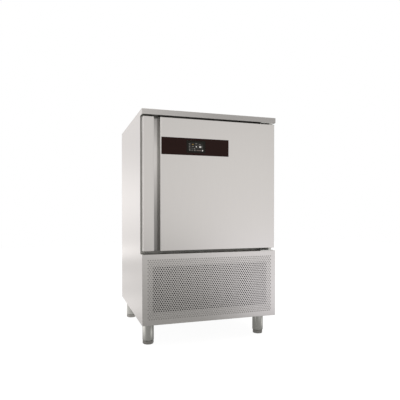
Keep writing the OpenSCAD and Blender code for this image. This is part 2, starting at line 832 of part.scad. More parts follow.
// Box round the condenser, open at the front, with the fan's opening in its rear plate
module condenser_shroud() {
    y1 = cond_fan_y + plate_t;
    z1 = z_floor + condenser_h + 2 * plate_t;
    color(galvanised) difference() {
        block([shroud_x0, shroud_y0, z_floor], [shroud_x1, y1, z1]);
        block([shroud_x0 + plate_t, shroud_y0 - eps, z_floor + plate_t],
            [shroud_x1 - plate_t, cond_fan_y, z1 - plate_t]);
        facing_rear([cond_fan_x, cond_fan_y - eps, cond_fan_z])
            cylinder(r = cond_hole_r, h = plate_t + 2 * eps, $fn = 96);
    }
}

module condenser_fan_motor() {
    color(black) facing_rear([cond_fan_x, cond_fan_y, cond_fan_z]) fan_motor(cond_hole_r);
}

module condenser_fan() {
    color(steel_dark) facing_rear([cond_fan_x, cond_fan_y, cond_fan_z]) fan_rotor(cond_hole_r - fan_rim_gap);
}

// Upright liquid receiver with rounded shoulders
module liquid_receiver() {
    r = receiver_r;
    color(black) translate([receiver_x, receiver_y, z_floor]) rotate_extrude() polygon(concat(
        [[0, 0], [r, 0]],
        [for (a = [0:15:90]) [r - 16 + 16 * cos(a), receiver_h - 16 + 16 * sin(a)]],
        [[0, receiver_h]]));
}

// Filter drier: a short cylinder with tapered ends, lying along Y
module filter_drier() {
    color(copper) facing_rear([receiver_x, drier_y0, drier_z]) rotate_extrude() polygon([
        [0, 0], [liquid_r + 2, 0], [drier_r, 18], [drier_r, drier_len - 18],
        [liquid_r + 2, drier_len], [0, drier_len]]);
}

// Expansion valve on the liquid riser, with the short pipe into the coil's end plate
module expansion_valve() {
    top = valve_z + valve_h;
    color([0.75, 0.62, 0.35]) {
        translate([riser_x, liquid_y, valve_z]) cylinder(r = valve_r - 2, h = valve_h);
        translate([riser_x, liquid_y, top - 12]) cylinder(r = valve_r, h = 10);
        pipe([[riser_x, liquid_y, top - 1], [riser_x, liquid_y, top + 30],
            [coil_x + plate_t, liquid_y, top + 30]], liquid_r, 11);
    }
}

module discharge_pipe() {
    x = compressor_x - discharge_side;
    color(copper) pipe([
        [x, compressor_y, compressor_z + compressor_h], [x, compressor_y, discharge_z],
        [x, discharge_out_y, discharge_z], [shroud_x1, discharge_out_y, discharge_z]],
        discharge_r, discharge_bend);
}

// Condenser to receiver, receiver to drier, and drier to expansion valve
module liquid_pipe() {
    low = z_floor + 38;
    top = z_floor + receiver_h;
    color(copper) {
        pipe([[shroud_x1, discharge_out_y, low], [receiver_x, discharge_out_y, low],
            [receiver_x, receiver_y - receiver_r - run_gap, low]], liquid_r, 15);
        pipe([[receiver_x, receiver_y, top], [receiver_x, receiver_y, drier_z],
            [receiver_x, drier_y0, drier_z]], liquid_r, 15);
        pipe([[receiver_x, drier_y0 + drier_len, drier_z], [receiver_x, liquid_y, drier_z],
            [riser_x, liquid_y, drier_z], [riser_x, liquid_y, valve_z]], liquid_r, 15);
    }
}

module suction_pipe() {
    x = compressor_x + suction_side;
    color(copper) pipe([
        [coil_x + plate_t, suction_y, ch_z0 + suction_rise], [riser_x, suction_y, ch_z0 + suction_rise],
        [riser_x, suction_y, suction_z], [riser_x, compressor_y, suction_z],
        [x, compressor_y, suction_z], [x, compressor_y, compressor_z + compressor_h]],
        suction_r, suction_bend);
}

module electrical_box() {
    color(galvanised) difference() {
        block([x_in - ebox_d, ebox_y, ebox_z], [x_in, ebox_y + ebox_w, ebox_z + ebox_h]);
        block([x_in - ebox_d - eps, ebox_y + plate_t, ebox_z + plate_t],
            [x_in - plate_t, ebox_y + ebox_w - plate_t, ebox_z + ebox_h - plate_t]);
    }
}

module electrical_cover() {
    color(galvanised) block([x_in - ebox_d - plate_t, ebox_y, ebox_z],
        [x_in - ebox_d, ebox_y + ebox_w, ebox_z + ebox_h]);
}

// Gland of the supply cable: a bored body with a nut on each side of the panel
module cable_gland() {
    inner_nut = 6;
    outer_nut = 7;
    inner_end = -sheet_t - inner_nut - 4;
    outer_end = 12;
    color(black) facing_rear([gland_x, y_back, gland_z]) difference() {
        union() {
            translate([0, 0, inner_end]) cylinder(r = gland_r, h = outer_end - inner_end);
            translate([0, 0, -sheet_t - inner_nut]) cylinder(r = gland_nut_r, h = inner_nut, $fn = 6);
            cylinder(r = gland_nut_r, h = outer_nut, $fn = 6);
        }
        translate([0, 0, inner_end - eps]) cylinder(r = gland_bore_r, h = outer_end - inner_end + 2 * eps);
    }
}

module rear_screws() {
    inset = 14;
    color(steel_dark) {
        for (x = [-x_in + inset, 0, x_in - inset], z = [z_shelf + inset, ch_mid, z_roof - inset])
            facing_rear([x, y_back, z]) cylinder(r = 4, h = 2.5);
        for (x = [-x_in + inset, x_in - inset], z = [z_floor + inset, z_ceiling - inset])
            facing_rear([x, y_back, z]) cylinder(r = 4, h = 2.5);
    }
}

// ---------------------------------------------------------------- legs

nut_h = 15;
sleeve_wall = 3;
foot_gap = 1;                          // between the foot pad and its sleeve
foot_places = [
    [-foot_x, y_front + foot_front], [foot_x, y_front + foot_front],
    [-foot_x, y_rear - foot_rear], [foot_x, y_rear - foot_rear]];

// Four tubes under the base, each closed by a bored nut with a bevelled rim
module leg_sleeves() {
    bottom = pad_h + foot_gap;
    color(steel) for (p = foot_places) translate([p.x, p.y, 0]) rotate_extrude($fn = 96) polygon([
        [screw_r + run_gap, bottom], [sleeve_r - 1.5, bottom], [sleeve_r, bottom + 1.5], [sleeve_r, z_base],
        [sleeve_r - sleeve_wall, z_base], [sleeve_r - sleeve_wall, bottom + nut_h],
        [screw_r + run_gap, bottom + nut_h]]);
}

// Screwed foot: a hexagonal pad, which a spanner turns, and its screw. The pad's corners are turned off below.
pad_cut = 4;
module foot(p) {
    color(steel_dark) translate([p.x, p.y, 0]) {
        intersection() {
            cylinder(r = pad_r, h = pad_h, $fn = 6);
            rotate_extrude($fn = 96) polygon([
                [0, -eps], [pad_r - pad_cut - eps, -eps], [pad_r + eps, pad_cut + eps],
                [pad_r + eps, pad_h + eps], [0, pad_h + eps]]);
        }
        translate([0, 0, pad_h / 2]) cylinder(r = screw_r, h = z_base - 20 - pad_h / 2);
    }
}

module foot_front_left() {
    foot(foot_places[0]);
}

module foot_front_right() {
    foot(foot_places[1]);
}

module foot_rear_left() {
    foot(foot_places[2]);
}

module foot_rear_right() {
    foot(foot_places[3]);
}

// ---------------------------------------------------------------- door

// Plan of the door right of the grip channel, drawn in by the sheet's thickness t
function main_plan(t, back) = [
    [edge_x + t * (sqrt(2) - 1), door_y0 + t], [door_x1 - t, door_y0 + t], [door_x1 - t, back],
    [root_x + t, back], [root_x + t, channel_y], [wall_x + t, door_y0 + channel_bevel + t * (sqrt(2) - 1)]];

module upright(z0, z1) {
    translate([0, 0, z0]) linear_extrude(z1 - z0) children();
}

// Cut for the display and the controller behind it
module display_cut(y0, y1, lap) {
    block([display_cx - display_w / 2 - lap, y0, display_cz - display_h / 2 - lap],
        [display_cx + display_w / 2 + lap, y1, display_cz + display_h / 2 + lap]);
}

// Cuts for the two pivot bushes, z0 and z1 being the door's lower and upper skin
module bush_cuts() {
    for (z = [door_z0 - eps, door_z1 - bush_len - run_gap])
        translate([pivot.x, pivot.y, z]) cylinder(r = bush_r + run_gap, h = bush_len + run_gap + eps);
}

// Outer pan right of the channel
module door_skin() {
    color(steel) difference() {
        upright(door_z0, door_z1) polygon(main_plan(0, pan_back));
        upright(door_z0 + sheet_t, door_z1 - sheet_t) polygon(main_plan(sheet_t, pan_back + eps));
        display_cut(door_y0 - eps, door_y0 + sheet_t + eps, seat_gap);
        bush_cuts();
    }
}

// Outer pan left of the channel
module door_handle_strip() {
    color(steel) difference() {
        block([door_x0, door_y0, door_z0], [strip_x, pan_back, door_z1]);
        block([door_x0 + sheet_t, door_y0 + sheet_t, door_z0 + sheet_t],
            [strip_x - sheet_t, pan_back + eps, door_z1 - sheet_t]);
    }
}

// Sheet at the bottom of the grip channel
module door_handle_channel() {
    color(steel) block([strip_x, channel_y, door_z0], [root_x, channel_y + sheet_t, door_z1]);
}

module door_insulation() {
    t = sheet_t;
    color(foam_tan) {
        block([door_x0 + t, door_y0 + t, door_z0 + t], [strip_x - t, pan_back, door_z1 - t]);
        difference() {
            upright(door_z0 + t, door_z1 - t) polygon(main_plan(t, pan_back));
            display_cut(door_y0, door_y0 + t + controller_depth, housing_lap + seat_gap);
            bush_cuts();
        }
    }
}

module door_inner_panel() {
    color(steel) block([door_x0, pan_back, door_z0], [door_x1, door_y1, door_z1]);
}

// Gasket: a ring round the chamber's mouth, thinner at its foot
module door_gasket() {
    foot_t = 3;
    bulb_in = 4;
    color([0.45, 0.45, 0.45]) {
        profile_xz(door_y1, foot_t) gasket_ring(0);
        profile_xz(door_y1 + foot_t, gasket_t - foot_t - seat_gap) gasket_ring(bulb_in);
    }
}

module gasket_ring(inset) {
    a = gasket_lap + inset;
    b = gasket_lap + gasket_w - inset;
    difference() {
        translate([-ch_x - b, ch_z0 - b]) square([2 * (ch_x + b), ch_z1 - ch_z0 + 2 * b]);
        translate([-ch_x - a, ch_z0 - a]) square([2 * (ch_x + a), ch_z1 - ch_z0 + 2 * a]);
    }
}

// Flanged nylon bushes in the door's lower and upper edge
module door_bushes() {
    color([0.9, 0.9, 0.88]) {
        translate([pivot.x, pivot.y, door_z0]) bush(flange_low);
        translate([pivot.x, pivot.y, door_z1]) mirror([0, 0, 1]) bush(flange_high);
    }
}

module bush(flange_t) {
    difference() {
        union() {
            cylinder(r = bush_r, h = bush_len);
            translate([0, 0, -flange_t]) cylinder(r = bush_flange_r, h = flange_t);
        }
        translate([0, 0, -flange_t - eps]) cylinder(r = pin_r + run_gap, h = flange_t + eps + pin_len + 2);
    }
}

// Dark fascia on the door's face, cut out for the display
module control_fascia() {
    color(fascia_black) difference() {
        block([fascia_x0, y_front, fascia_z0], [fascia_x0 + fascia_w, door_y0, fascia_z1]);
        display_cut(y_front - eps, door_y0 + eps, seat_gap);
    }
}

module display_screen() {
    color(black) display_cut(y_front + 0.2, door_y0 + sheet_t, 0);
}

module controller_housing() {
    y0 = door_y0 + sheet_t;
    color(grey_plastic) display_cut(y0, y0 + controller_depth - seat_gap, housing_lap);
}

side_panel_left();
side_panel_right();
top_panel();
back_panel();
front_shelf();
front_grille_panel();
grille_backing_frame();
condenser_filter();
rear_service_panel();
base_plate();
base_rails();
compartment_ceiling();
cabinet_insulation();
chamber_liner();
front_frame();
hinge_bracket_top();
hinge_bracket_bottom();
hinge_screws();
tray_rack_left();
tray_rack_right();
air_deflector();
fan_guards();
evaporator_fan_motors();
evaporator_fins();
evaporator_return_bends();
chamber_drain();
probe_socket();
compressor();
compressor_grommets();
condenser_fins();
condenser_return_bends();
condenser_shroud();
condenser_fan_motor();
liquid_receiver();
filter_drier();
expansion_valve();
discharge_pipe();
liquid_pipe();
suction_pipe();
electrical_box();
electrical_cover();
cable_gland();
rear_screws();
leg_sleeves();
door_skin();
door_handle_strip();
door_handle_channel();
door_insulation();
door_inner_panel();
door_gasket();
door_bushes();
control_fascia();
display_screen();
controller_housing();
evaporator_fan_upper();
evaporator_fan_lower();
condenser_fan();
foot_front_left();
foot_front_right();
foot_rear_left();
foot_rear_right();
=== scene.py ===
# %% [markdown]
# # A commercial blast chiller in Blender
# The object is an insulated steel cabinet on four feet. It has one door with a sunk grip channel, a dark
# control panel in that door, and a perforated panel over the machine compartment. Its CAD model is
# loaded first as a fixed frame. Every new piece is made where that frame says, so nothing needs fitting.

# %% Load the frame
import math

import bmesh
import bpy
import numpy as np
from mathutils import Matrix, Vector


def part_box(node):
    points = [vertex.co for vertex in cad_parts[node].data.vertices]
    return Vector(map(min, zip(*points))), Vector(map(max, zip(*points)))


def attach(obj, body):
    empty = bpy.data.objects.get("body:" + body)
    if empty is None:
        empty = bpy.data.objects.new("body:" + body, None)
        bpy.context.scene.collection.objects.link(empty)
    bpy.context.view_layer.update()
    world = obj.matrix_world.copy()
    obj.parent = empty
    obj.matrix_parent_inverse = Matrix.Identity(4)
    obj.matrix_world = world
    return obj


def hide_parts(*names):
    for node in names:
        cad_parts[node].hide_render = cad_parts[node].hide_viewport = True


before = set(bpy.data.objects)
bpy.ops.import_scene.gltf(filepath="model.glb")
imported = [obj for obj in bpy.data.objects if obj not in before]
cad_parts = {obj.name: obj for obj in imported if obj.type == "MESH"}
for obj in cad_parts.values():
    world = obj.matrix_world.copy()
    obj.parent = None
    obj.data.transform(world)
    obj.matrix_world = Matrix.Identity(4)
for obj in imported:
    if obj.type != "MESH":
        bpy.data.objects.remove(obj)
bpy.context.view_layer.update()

MM = 0.001

# %% [markdown]
# ## The camera
# The camera stands where the photograph was taken from: in front, to the left, a little over half the
# cabinet's height. Its shift keeps the uprights parallel, as the photographer's lens does, and puts the
# object where it stands in the picture. The numbers were solved from the cabinet's corners.

# %% Camera
LENS = 36.99
PRINCIPAL_SHIFT = (0.0106, 0.0352)
STAND = (-0.7883, -2.5616, 0.7542)
PITCH, HEADING = 90 - 0.669, -17.747

lens = bpy.data.cameras.new("camera")
lens.lens, lens.sensor_width = LENS, 36
lens.shift_x, lens.shift_y = PRINCIPAL_SHIFT
camera = bpy.data.objects.new("camera", lens)
camera.location = STAND
camera.rotation_euler = (math.radians(PITCH), 0, math.radians(HEADING))
bpy.context.scene.collection.objects.link(camera)
bpy.context.scene.camera = camera
print("camera", [round(x, 3) for x in camera.location])

# %% [markdown]
# ## Colours and shader nodes
# Colours are written as sRGB hex numbers, and Blender mixes light in linear numbers, so one function turns the
# first into the second. A shader tree is built by one small helper. It takes each input as a number, a colour or
# the socket that it comes from.

# %% Helpers for colour and nodes
def linear(code):
    """Hex sRGB to linear: s / 12.92 below 0.04045, and otherwise ((s + 0.055) / 1.055) to the power of 2.4."""
    s = np.array([int(code[i:i + 2], 16) / 255 for i in (0, 2, 4)])
    return (*np.where(s <= 0.04045, s / 12.92, ((s + 0.055) / 1.055) ** 2.4), 1.0)


def node(tree, kind, inputs=None, **settings):
    """Adds one node with its settings. An input given as a socket is linked, any other is set."""
    made = tree.nodes.new("ShaderNode" + kind)
    for name, value in settings.items():
        setattr(made, name, value)
    for name, value in (inputs or {}).items():
        if isinstance(value, bpy.types.NodeSocket):
            tree.links.new(value, made.inputs[name])
        else:
            made.inputs[name].default_value = value
    return made


def shade_tree(name):
    """A new material and its tree, with only the output node in it."""
    made = bpy.data.materials.new(name)
    made.use_nodes = True
    made.node_tree.nodes.clear()
    return made, made.node_tree


print("c4c0bd is", [round(x, 3) for x in linear("c4c0bd")[:3]])

# %% [markdown]
# ## Finishes with a grain
# Most surfaces here differ in the same few ways: two close colours, a roughness that wavers, and a fine relief.
# One noise in Object coordinates drives all three, so they agree as they do on a real surface. The noise
# is stretched along the grain: brushing leaves scratches many times longer than wide. Real scratches are
# 0.05 mm wide, too fine for this picture, so the grain is drawn about a millimetre wide.

# %% Grained finishes
NOISE_SPREAD = (0.3, 0.7)               # nearly all values of a noise lie between these


def shaded(tree, place, tint, axis, *stops):
    """The tint times a grey level of painted light and shade that runs evenly from stop to stop. A stop is a pair, mm
    along the axis and level, and the stops come in rising order."""
    (low, _), (high, _) = stops[0], stops[-1]
    along = node(tree, "SeparateXYZ", {"Vector": place}).outputs[axis]
    along = node(tree, "MapRange", {"Value": along, "From Min": low * MM, "From Max": high * MM}).outputs["Result"]
    ramp = node(tree, "ValToRGB", {"Fac": along})
    made = ramp.color_ramp.elements
    for at, level in stops:
        stop = made[0] if at == low else made[-1] if at == high else made.new((at - low) / (high - low))
        stop.color = (level, level, level, 1)
    return node(tree, "Mix", {"Factor": 1.0, "A": tint, "B": ramp.outputs["Color"]}, data_type="RGBA",
                blend_type="MULTIPLY").outputs["Result"]


def grained(name, dark, light, roughness, waver=0.0, cell=(1, 1, 1), relief=0.0, painted_gradient=None, **shader):
    """Colour runs from dark to light, and roughness by +-waver, with a noise whose cells are cell mm. The
    relief is in mm, and a painted_gradient, painted light and shade, is an axis and the stops along it."""
    made, tree = shade_tree(name)
    place = node(tree, "TexCoord").outputs["Object"]
    scaled = node(tree, "Mapping", {"Vector": place, "Scale": [1 / (c * MM) for c in cell]}).outputs["Vector"]
    noise = node(tree, "TexNoise", {"Vector": scaled, "Scale": 1.0, "Detail": 3.0}).outputs["Fac"]
    colour = node(tree, "ValToRGB", {"Fac": noise})
    for stop, at, code in zip(colour.color_ramp.elements, NOISE_SPREAD, (dark, light)):
        stop.position, stop.color = at, linear(code)
    tint = colour.outputs["Color"]
    if painted_gradient:
        tint = shaded(tree, place, tint, *painted_gradient)
    inputs = {"Base Color": tint, "Roughness": roughness}
    if waver:
        inputs["Roughness"] = node(tree, "MapRange", {
            "Value": noise, "From Min": NOISE_SPREAD[0], "From Max": NOISE_SPREAD[1],
            "To Min": roughness - waver, "To Max": roughness + waver}).outputs["Result"]
    if relief:
        inputs["Normal"] = node(tree, "Bump", {
            "Height": noise, "Strength": 1.0, "Distance": relief * MM}).outputs["Normal"]
    inputs.update({key.replace("_", " "): value for key, value in shader.items()})
    surface = node(tree, "BsdfPrincipled", inputs).outputs["BSDF"]
    node(tree, "OutputMaterial", {"Surface": surface})
    return made


print("noise runs from", *NOISE_SPREAD)

# %% [markdown]
# ## Stainless steel
# The outer sheets are 1.2 mm AISI 304 with a satin finish, ground with a belt. The belt's scratches run
# upwards on the door and lengthwise on the apron and the lower panel. Ground steel reflects the room as
# soft, wide patches of light, so it is fully metallic with a middling roughness. The apron and the grip
# channel mirror things that this studio doesn't have, so a slow gradient painted into their colour stands for
# them as painted reflection and shade: darker to the right along the apron, darker towards the channel's ends.

# %% Steel materials
ALONG_X, ALONG_Z = (90, 0.9, 0.9), (0.9, 0.9, 90)           # a scratch's length and widths in mm
steel_door = grained("satin_stainless_door", "c8c8c5", "cbcbc8", 0.30, 0.01, ALONG_Z, 0.002, Metallic=1.0)
steel_side = grained("satin_stainless_side", "c8c8c6", "cbcbc9", 0.32, 0.01, ALONG_Z, 0.003, Metallic=1.0)
# painted reflection: the apron's colour darkens from its left end to the middle and stays so to the right
steel_top_painted_reflection = grained("satin_stainless_top_painted_reflection", "bebebb", "c8c8c5", 0.42, 0.03, ALONG_X, 0.02, Metallic=1.0,
                    painted_gradient=("X", (-395, 0.97), (0, 0.75), (395, 0.75)))
# painted shade and reflection: the channel's colour is darkest at the bottom and a little darker at the top
steel_channel_painted_shade = grained("satin_stainless_channel_painted_shade", "cfcfcc", "d2d2cf", 0.30, 0.01, ALONG_Z, 0.002, Metallic=1.0,
                        painted_gradient=("Z", (530, 0.35), (740, 0.5), (1000, 1.0), (1080, 1.0), (1250, 0.55)))
steel_grille = grained("satin_stainless_grille", "c4c4c1", "cbcbc8", 0.34, 0.02, ALONG_X, 0.02, Metallic=1.0)
steel_inner = grained("bright_stainless_inner", "bdbdba", "c6c6c3", 0.30, 0.03, ALONG_Z, 0.003, Metallic=1.0)
steel_leg = grained("polished_stainless_leg", "bbbdb9", "c3c5c1", 0.16, 0.02, (6, 6, 0.8), 0.003, Metallic=1.0)
steel_foot = grained("turned_steel_foot", "9c9c98", "a8a8a4", 0.30, 0.03, (9, 9, 0.7), 0.006, Metallic=1.0)
steel_screw = grained("zinc_plated_screw", "a7a8a8", "b6b6b4", 0.30, 0.05, (2, 2, 2), 0.004, Metallic=1.0)
steel_strip = grained("shaded_stainless_strip", "9c9c99", "a6a6a3", 0.5, 0.03, ALONG_X, 0.01, Metallic=1.0)
print("scratches", max(ALONG_X), "by", min(ALONG_X), "mm")

# %% [markdown]
# ## Galvanised sheet
# Hidden sheets are hot-dip galvanised. The zinc freezes in crystals 5 to 15 mm wide, called spangle, and
# each reflects a little differently. Voronoi cells have just that look: one flat value to a cell.

# %% Galvanised sheet
SPANGLE, WANDER = 11, 0.012             # a crystal's width in mm, and how much its edges wander
galvanised, tree = shade_tree("hot_dip_galvanised_sheet")
place = node(tree, "TexCoord").outputs["Object"]
wander = node(tree, "TexNoise", {"Vector": place, "Scale": 1 / (SPANGLE * MM), "Detail": 2.0})
bent = node(tree, "Mix", {"Factor": WANDER, "A": place, "B": wander.outputs["Color"]}, data_type="VECTOR")
cells = node(tree, "TexVoronoi", {"Vector": bent.outputs["Result"], "Scale": 1 / (SPANGLE * MM)})
value = node(tree, "SeparateColor", {"Color": cells.outputs["Color"]}).outputs["Red"]
colour = node(tree, "ValToRGB", {"Fac": value})
for stop, at, code in zip(colour.color_ramp.elements, (0.0, 1.0), ("a2a5a7", "b5b8ba")):
    stop.position, stop.color = at, linear(code)
rough = node(tree, "MapRange", {"Value": value, "To Min": 0.34, "To Max": 0.52})
surface = node(tree, "BsdfPrincipled", {
    "Base Color": colour.outputs["Color"], "Roughness": rough.outputs["Result"], "Metallic": 0.9})
node(tree, "OutputMaterial", {"Surface": surface.outputs["BSDF"]})
print("spangle", SPANGLE, "mm")

# %% [markdown]
# ## The other materials
# Plastics get a faint mould grain and a low sheen, rubber is dull, copper pipe is drawn and slightly
# tarnished, and the paint on the compressor is a glossy enamel with a little orange peel. The control
# panel's acrylic sheet is nearly black. Its shine is kept low so that it stays dark in a white room.

# %% Plastics, paints and other metals
foam = grained("rigid_polyurethane_foam", "cdbf92", "dccfa6", 0.9, 0.05, (4, 4, 4), 0.3)
rubber = grained("black_rubber", "1b1b1c", "262626", 0.75, 0.05, (1.5, 1.5, 1.5), 0.02)
vinyl = grained("grey_vinyl_gasket", "7c7d7a", "888986", 0.5, 0.05, (1.5, 1.5, 1.5), 0.01)
copper = grained("drawn_copper_tube", "a96a45", "c07c55", 0.32, 0.06, (14, 14, 14), 0.01, Metallic=1.0)
brass = grained("machined_brass", "ad8d4c", "bf9f5c", 0.3, 0.04, (3, 3, 3), 0.006, Metallic=1.0)
aluminium = grained("rolled_aluminium_fin", "a9adb0", "b9bcbe", 0.36, 0.05, (0.8, 30, 30), 0.004, Metallic=1.0)
filter_foam = grained("open_cell_filter_foam", "0b0d0c", "1c1f1d", 0.95, 0.0, (3, 3, 3), 0.5)
coated = grained("black_coated_coil", "1a1b1b", "262827", 0.5, 0.05, (2, 2, 2), 0.02)
enamel = grained("black_enamel", "101011", "17181a", 0.28, 0.05, (2.5, 2.5, 2.5), 0.02)
frame_grey = grained("grey_abs_frame", "989994", "a1a29d", 0.5, 0.04, (0.8, 0.8, 0.8), 0.01)
grey_plastic = grained("grey_moulded_plastic", "a3a29e", "adaca8", 0.45, 0.04, (0.8, 0.8, 0.8), 0.01)
black_plastic = grained("black_polyamide", "18191a", "222324", 0.5, 0.05, (0.7, 0.7, 0.7), 0.02)
nylon = grained("white_nylon", "d8d6ce", "e2e0d8", 0.42, 0.04, (1.2, 1.2, 1.2), 0.01)
fascia_gloss = grained("black_acrylic_fascia", "21120f", "231411", 0.16, 0.02, (25, 25, 25),
                       Specular_IOR_Level=0.07)
display_glass = grained("display_cover_glass", "14140f", "161611", 0.12, 0.02, (20, 20, 20),
                        Specular_IOR_Level=0.12)
display_lit = grained("display_backlit_area", "1d1d1b", "2a2a27", 0.2, 0.02, (3, 3, 3), Specular_IOR_Level=0.12)
mark_grey = grained("display_grey_mark", "5e5e5a", "767672", 0.4, 0.02, (1.2, 1.2, 1.2))
mark_white = grained("display_white_mark", "c9c9c5", "dcdcd8", 0.4, 0.02, (1.2, 1.2, 1.2))
mark_amber = grained("display_amber_mark", "7d6220", "8f7126", 0.4, 0.02, (1.2, 1.2, 1.2))
mark_brown = grained("display_brown_bar", "4f4641", "5f554f", 0.4, 0.02, (1.2, 1.2, 1.2))
print("materials", len(bpy.data.materials))

# %% [markdown]
# ## Materials for the CAD pieces that stay
# A CAD node whose shape is right keeps its mesh and only gets a material. Those that a new piece stands for
# are hidden, and get one too, so that the list is whole and none is forgotten.

# %% Dress the CAD nodes
DRESS = {
    steel_side: "side_panel_left side_panel_right",
    steel_door: "door_skin door_handle_strip",
    steel_channel_painted_shade: "door_handle_channel",
    steel_top_painted_reflection: "top_panel",
    steel_grille: "front_grille_panel front_shelf",
    steel_inner: "chamber_liner tray_rack_left tray_rack_right air_deflector fan_guards door_inner_panel",
    galvanised: "back_panel rear_service_panel base_plate base_rails compartment_ceiling"
                " condenser_shroud electrical_box electrical_cover",
    steel_strip: "grille_backing_frame",
    filter_foam: "condenser_filter",
    foam: "cabinet_insulation door_insulation",
    rubber: "compressor_grommets",
    vinyl: "door_gasket",
    coated: "condenser_fins condenser_return_bends",
    copper: "evaporator_return_bends discharge_pipe liquid_pipe suction_pipe filter_drier",
    brass: "expansion_valve",
    aluminium: "evaporator_fins evaporator_fan_upper evaporator_fan_lower condenser_fan",
    enamel: "compressor liquid_receiver evaporator_fan_motors condenser_fan_motor",
    frame_grey: "front_frame",
    grey_plastic: "chamber_drain controller_housing",
    black_plastic: "probe_socket cable_gland",
    nylon: "door_bushes",
    fascia_gloss: "control_fascia",
    display_glass: "display_screen",
    steel_leg: "leg_sleeves hinge_bracket_top hinge_bracket_bottom",
    steel_foot: "foot_front_left foot_front_right foot_rear_left foot_rear_right",
    steel_screw: "hinge_screws rear_screws",
}
for finish, names in DRESS.items():
    for name in names.split():
        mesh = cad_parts[name].data
        if not mesh.materials:
            mesh.materials.append(finish)
        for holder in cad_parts[name].material_slots:
            holder.material = finish
print("dressed", len(" ".join(DRESS.values()).split()), "of", len(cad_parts), "nodes")

# %% [markdown]
# ## Shapes from arrays
# Every piece is a grid of points: a loop is repeated along a path, or a profile is turned round an axis.
# A loop can be any closed outline, so one function can make a plate, a pan, a ring or a wire.
# All sizes are millimetres until the mesh is made.

# %% Outlines and lofts
def rounded(corners, radius, steps=4, closed=True):
    """Each corner P becomes an arc. With a the way in, n the side it turns to and r the radius, the arc starts
    at S = P - a r tan(turn / 2), and its points are S + r (a sin t + n (1 - cos t)), t from 0 to turn."""
    p = np.asarray(corners, float)
    r = np.broadcast_to(np.asarray(radius, float), len(p))
    way = np.roll(p, -1, 0) - p
    b = way / np.linalg.norm(way, axis=1, keepdims=True)
    a = np.roll(b, 1, 0)
    turn = np.arctan2(a[:, 0] * b[:, 1] - a[:, 1] * b[:, 0], (a * b).sum(1))
    n = np.sign(turn)[:, None] * np.stack([-a[:, 1], a[:, 0]], 1)
    start = p - a * (r * np.tan(abs(turn) / 2))[:, None]
    t = abs(turn)[:, None] * np.linspace(0, 1, steps + 1)
    arcs = start[:, None] + r[:, None, None] * (
        np.sin(t)[..., None] * a[:, None] + (1 - np.cos(t))[..., None] * n[:, None])
    if closed:
        return arcs.reshape(-1, 2)
    return np.concatenate([p[:1], arcs[1:-1].reshape(-1, 2), p[-1:]])


def inset(outline, depth):
    """Each side moves inwards by depth: a point with the side normals n1 and n2 goes by
    depth (n1 + n2) / (1 + n1 . n2). The outline runs anticlockwise."""
    side = np.roll(outline, -1, 0) - outline
    n2 = np.stack([-side[:, 1], side[:, 0]], 1) / np.linalg.norm(side, axis=1, keepdims=True)
    n1 = np.roll(n2, 1, 0)
    return outline + depth * (n1 + n2) / (1 + (n1 * n2).sum(1))[:, None]


def loft(loops, ring=True, capped=True, wrap=False):
    """Quads between neighbouring loops, which all have as many points. A ring joins each loop's last point
    to its first, caps close the first and last loop, and wrap joins the last loop to the first."""
    loops = np.asarray(loops, float)
    rows, count = loops.shape[:2]
    i = np.arange(rows if wrap else rows - 1)[:, None]
    j = np.arange(count if ring else count - 1)[None, :]
    nxt, beside = (i + 1) % rows, (j + 1) % count
    quads = np.stack([i * count + j, i * count + beside, nxt * count + beside, nxt * count + j], -1)
    faces = quads.reshape(-1, 4).tolist()
    if capped:
        faces += [list(range(count))[::-1], list(range((rows - 1) * count, rows * count))]
    return loops.reshape(-1, 3), faces


def at_height(outline, height):
    """A flat outline as a loop of points at that height on the third axis."""
    return np.column_stack([outline, np.full(len(outline), height)])


def slab(outline, start, end, edge, steps=3):
    """A plate from start to end. Over the last edge mm, at a depth of edge (1 - cos t), its outline is drawn
    in by edge (1 - sin t), with t from 0 to a right angle, so its rims are quarter rounds."""
    t = np.linspace(0, np.pi / 2, steps + 1)
    draw, depth = edge * (1 - np.sin(t)), edge * (1 - np.cos(t))
    near = [at_height(inset(outline, a), start + d) for a, d in zip(draw, depth)]
    far = [at_height(inset(outline, a), end - d) for a, d in zip(draw[::-1], depth[::-1])]
    return loft(near + far)


def lathe(profile, segments=64, centre=(0, 0), wrap=False):
    """Turns a profile of (radius, height) points round the third axis: x = r cos a, y = r sin a."""
    profile = np.asarray(profile, float)
    a = np.arange(segments) / segments * 2 * np.pi
    x = profile[:, :1] * np.cos(a) + centre[0]
    y = profile[:, :1] * np.sin(a) + centre[1]
    return loft(np.stack([x, y, np.broadcast_to(profile[:, 1:], x.shape)], -1), capped=False, wrap=wrap)


def join(*shapes):
    """Several shapes as one: the points are stacked and each face's numbers shifted to match."""
    shift = np.cumsum([0] + [len(points) for points, _ in shapes])
    faces = [[v + s for v in face] for (_, part), s in zip(shapes, shift.tolist()) for face in part]
    return np.concatenate([points for points, _ in shapes]), faces


def axes(shape, order, offset=(0, 0, 0), signs=(1, 1, 1)):
    """The points with their columns in another order, each times its sign, then moved by offset."""
    return shape[0][:, order] * signs + offset, shape[1]


def rectangle(x0, x1, z0, z1, radius, steps=4):
    """An upright rectangle with rounded corners, anticlockwise."""
    return rounded([(x0, z0), (x1, z0), (x1, z1), (x0, z1)], radius, steps)


FROM_YZ, FROM_XZ = [2, 0, 1], [0, 2, 1]     # column orders: outline in that plane, height on the third axis
TURNED = (1, 1, -1)                         # signs that make FROM_XZ a turn and not a mirror image
print("a rounded square has", len(rectangle(0, 1, 0, 1, 0.1)), "points")

# %% [markdown]
# ## From arrays to an object
# The mesh is merged where loops meet or a profile touches its axis, and its normals are worked out again,
# so that they all face outwards. Edges sharper than 35 degrees stay crisp, and the weighted normals
# keep a flat sheet flat right up to its rounded rim. Then the piece is tied to the body that it moves with.

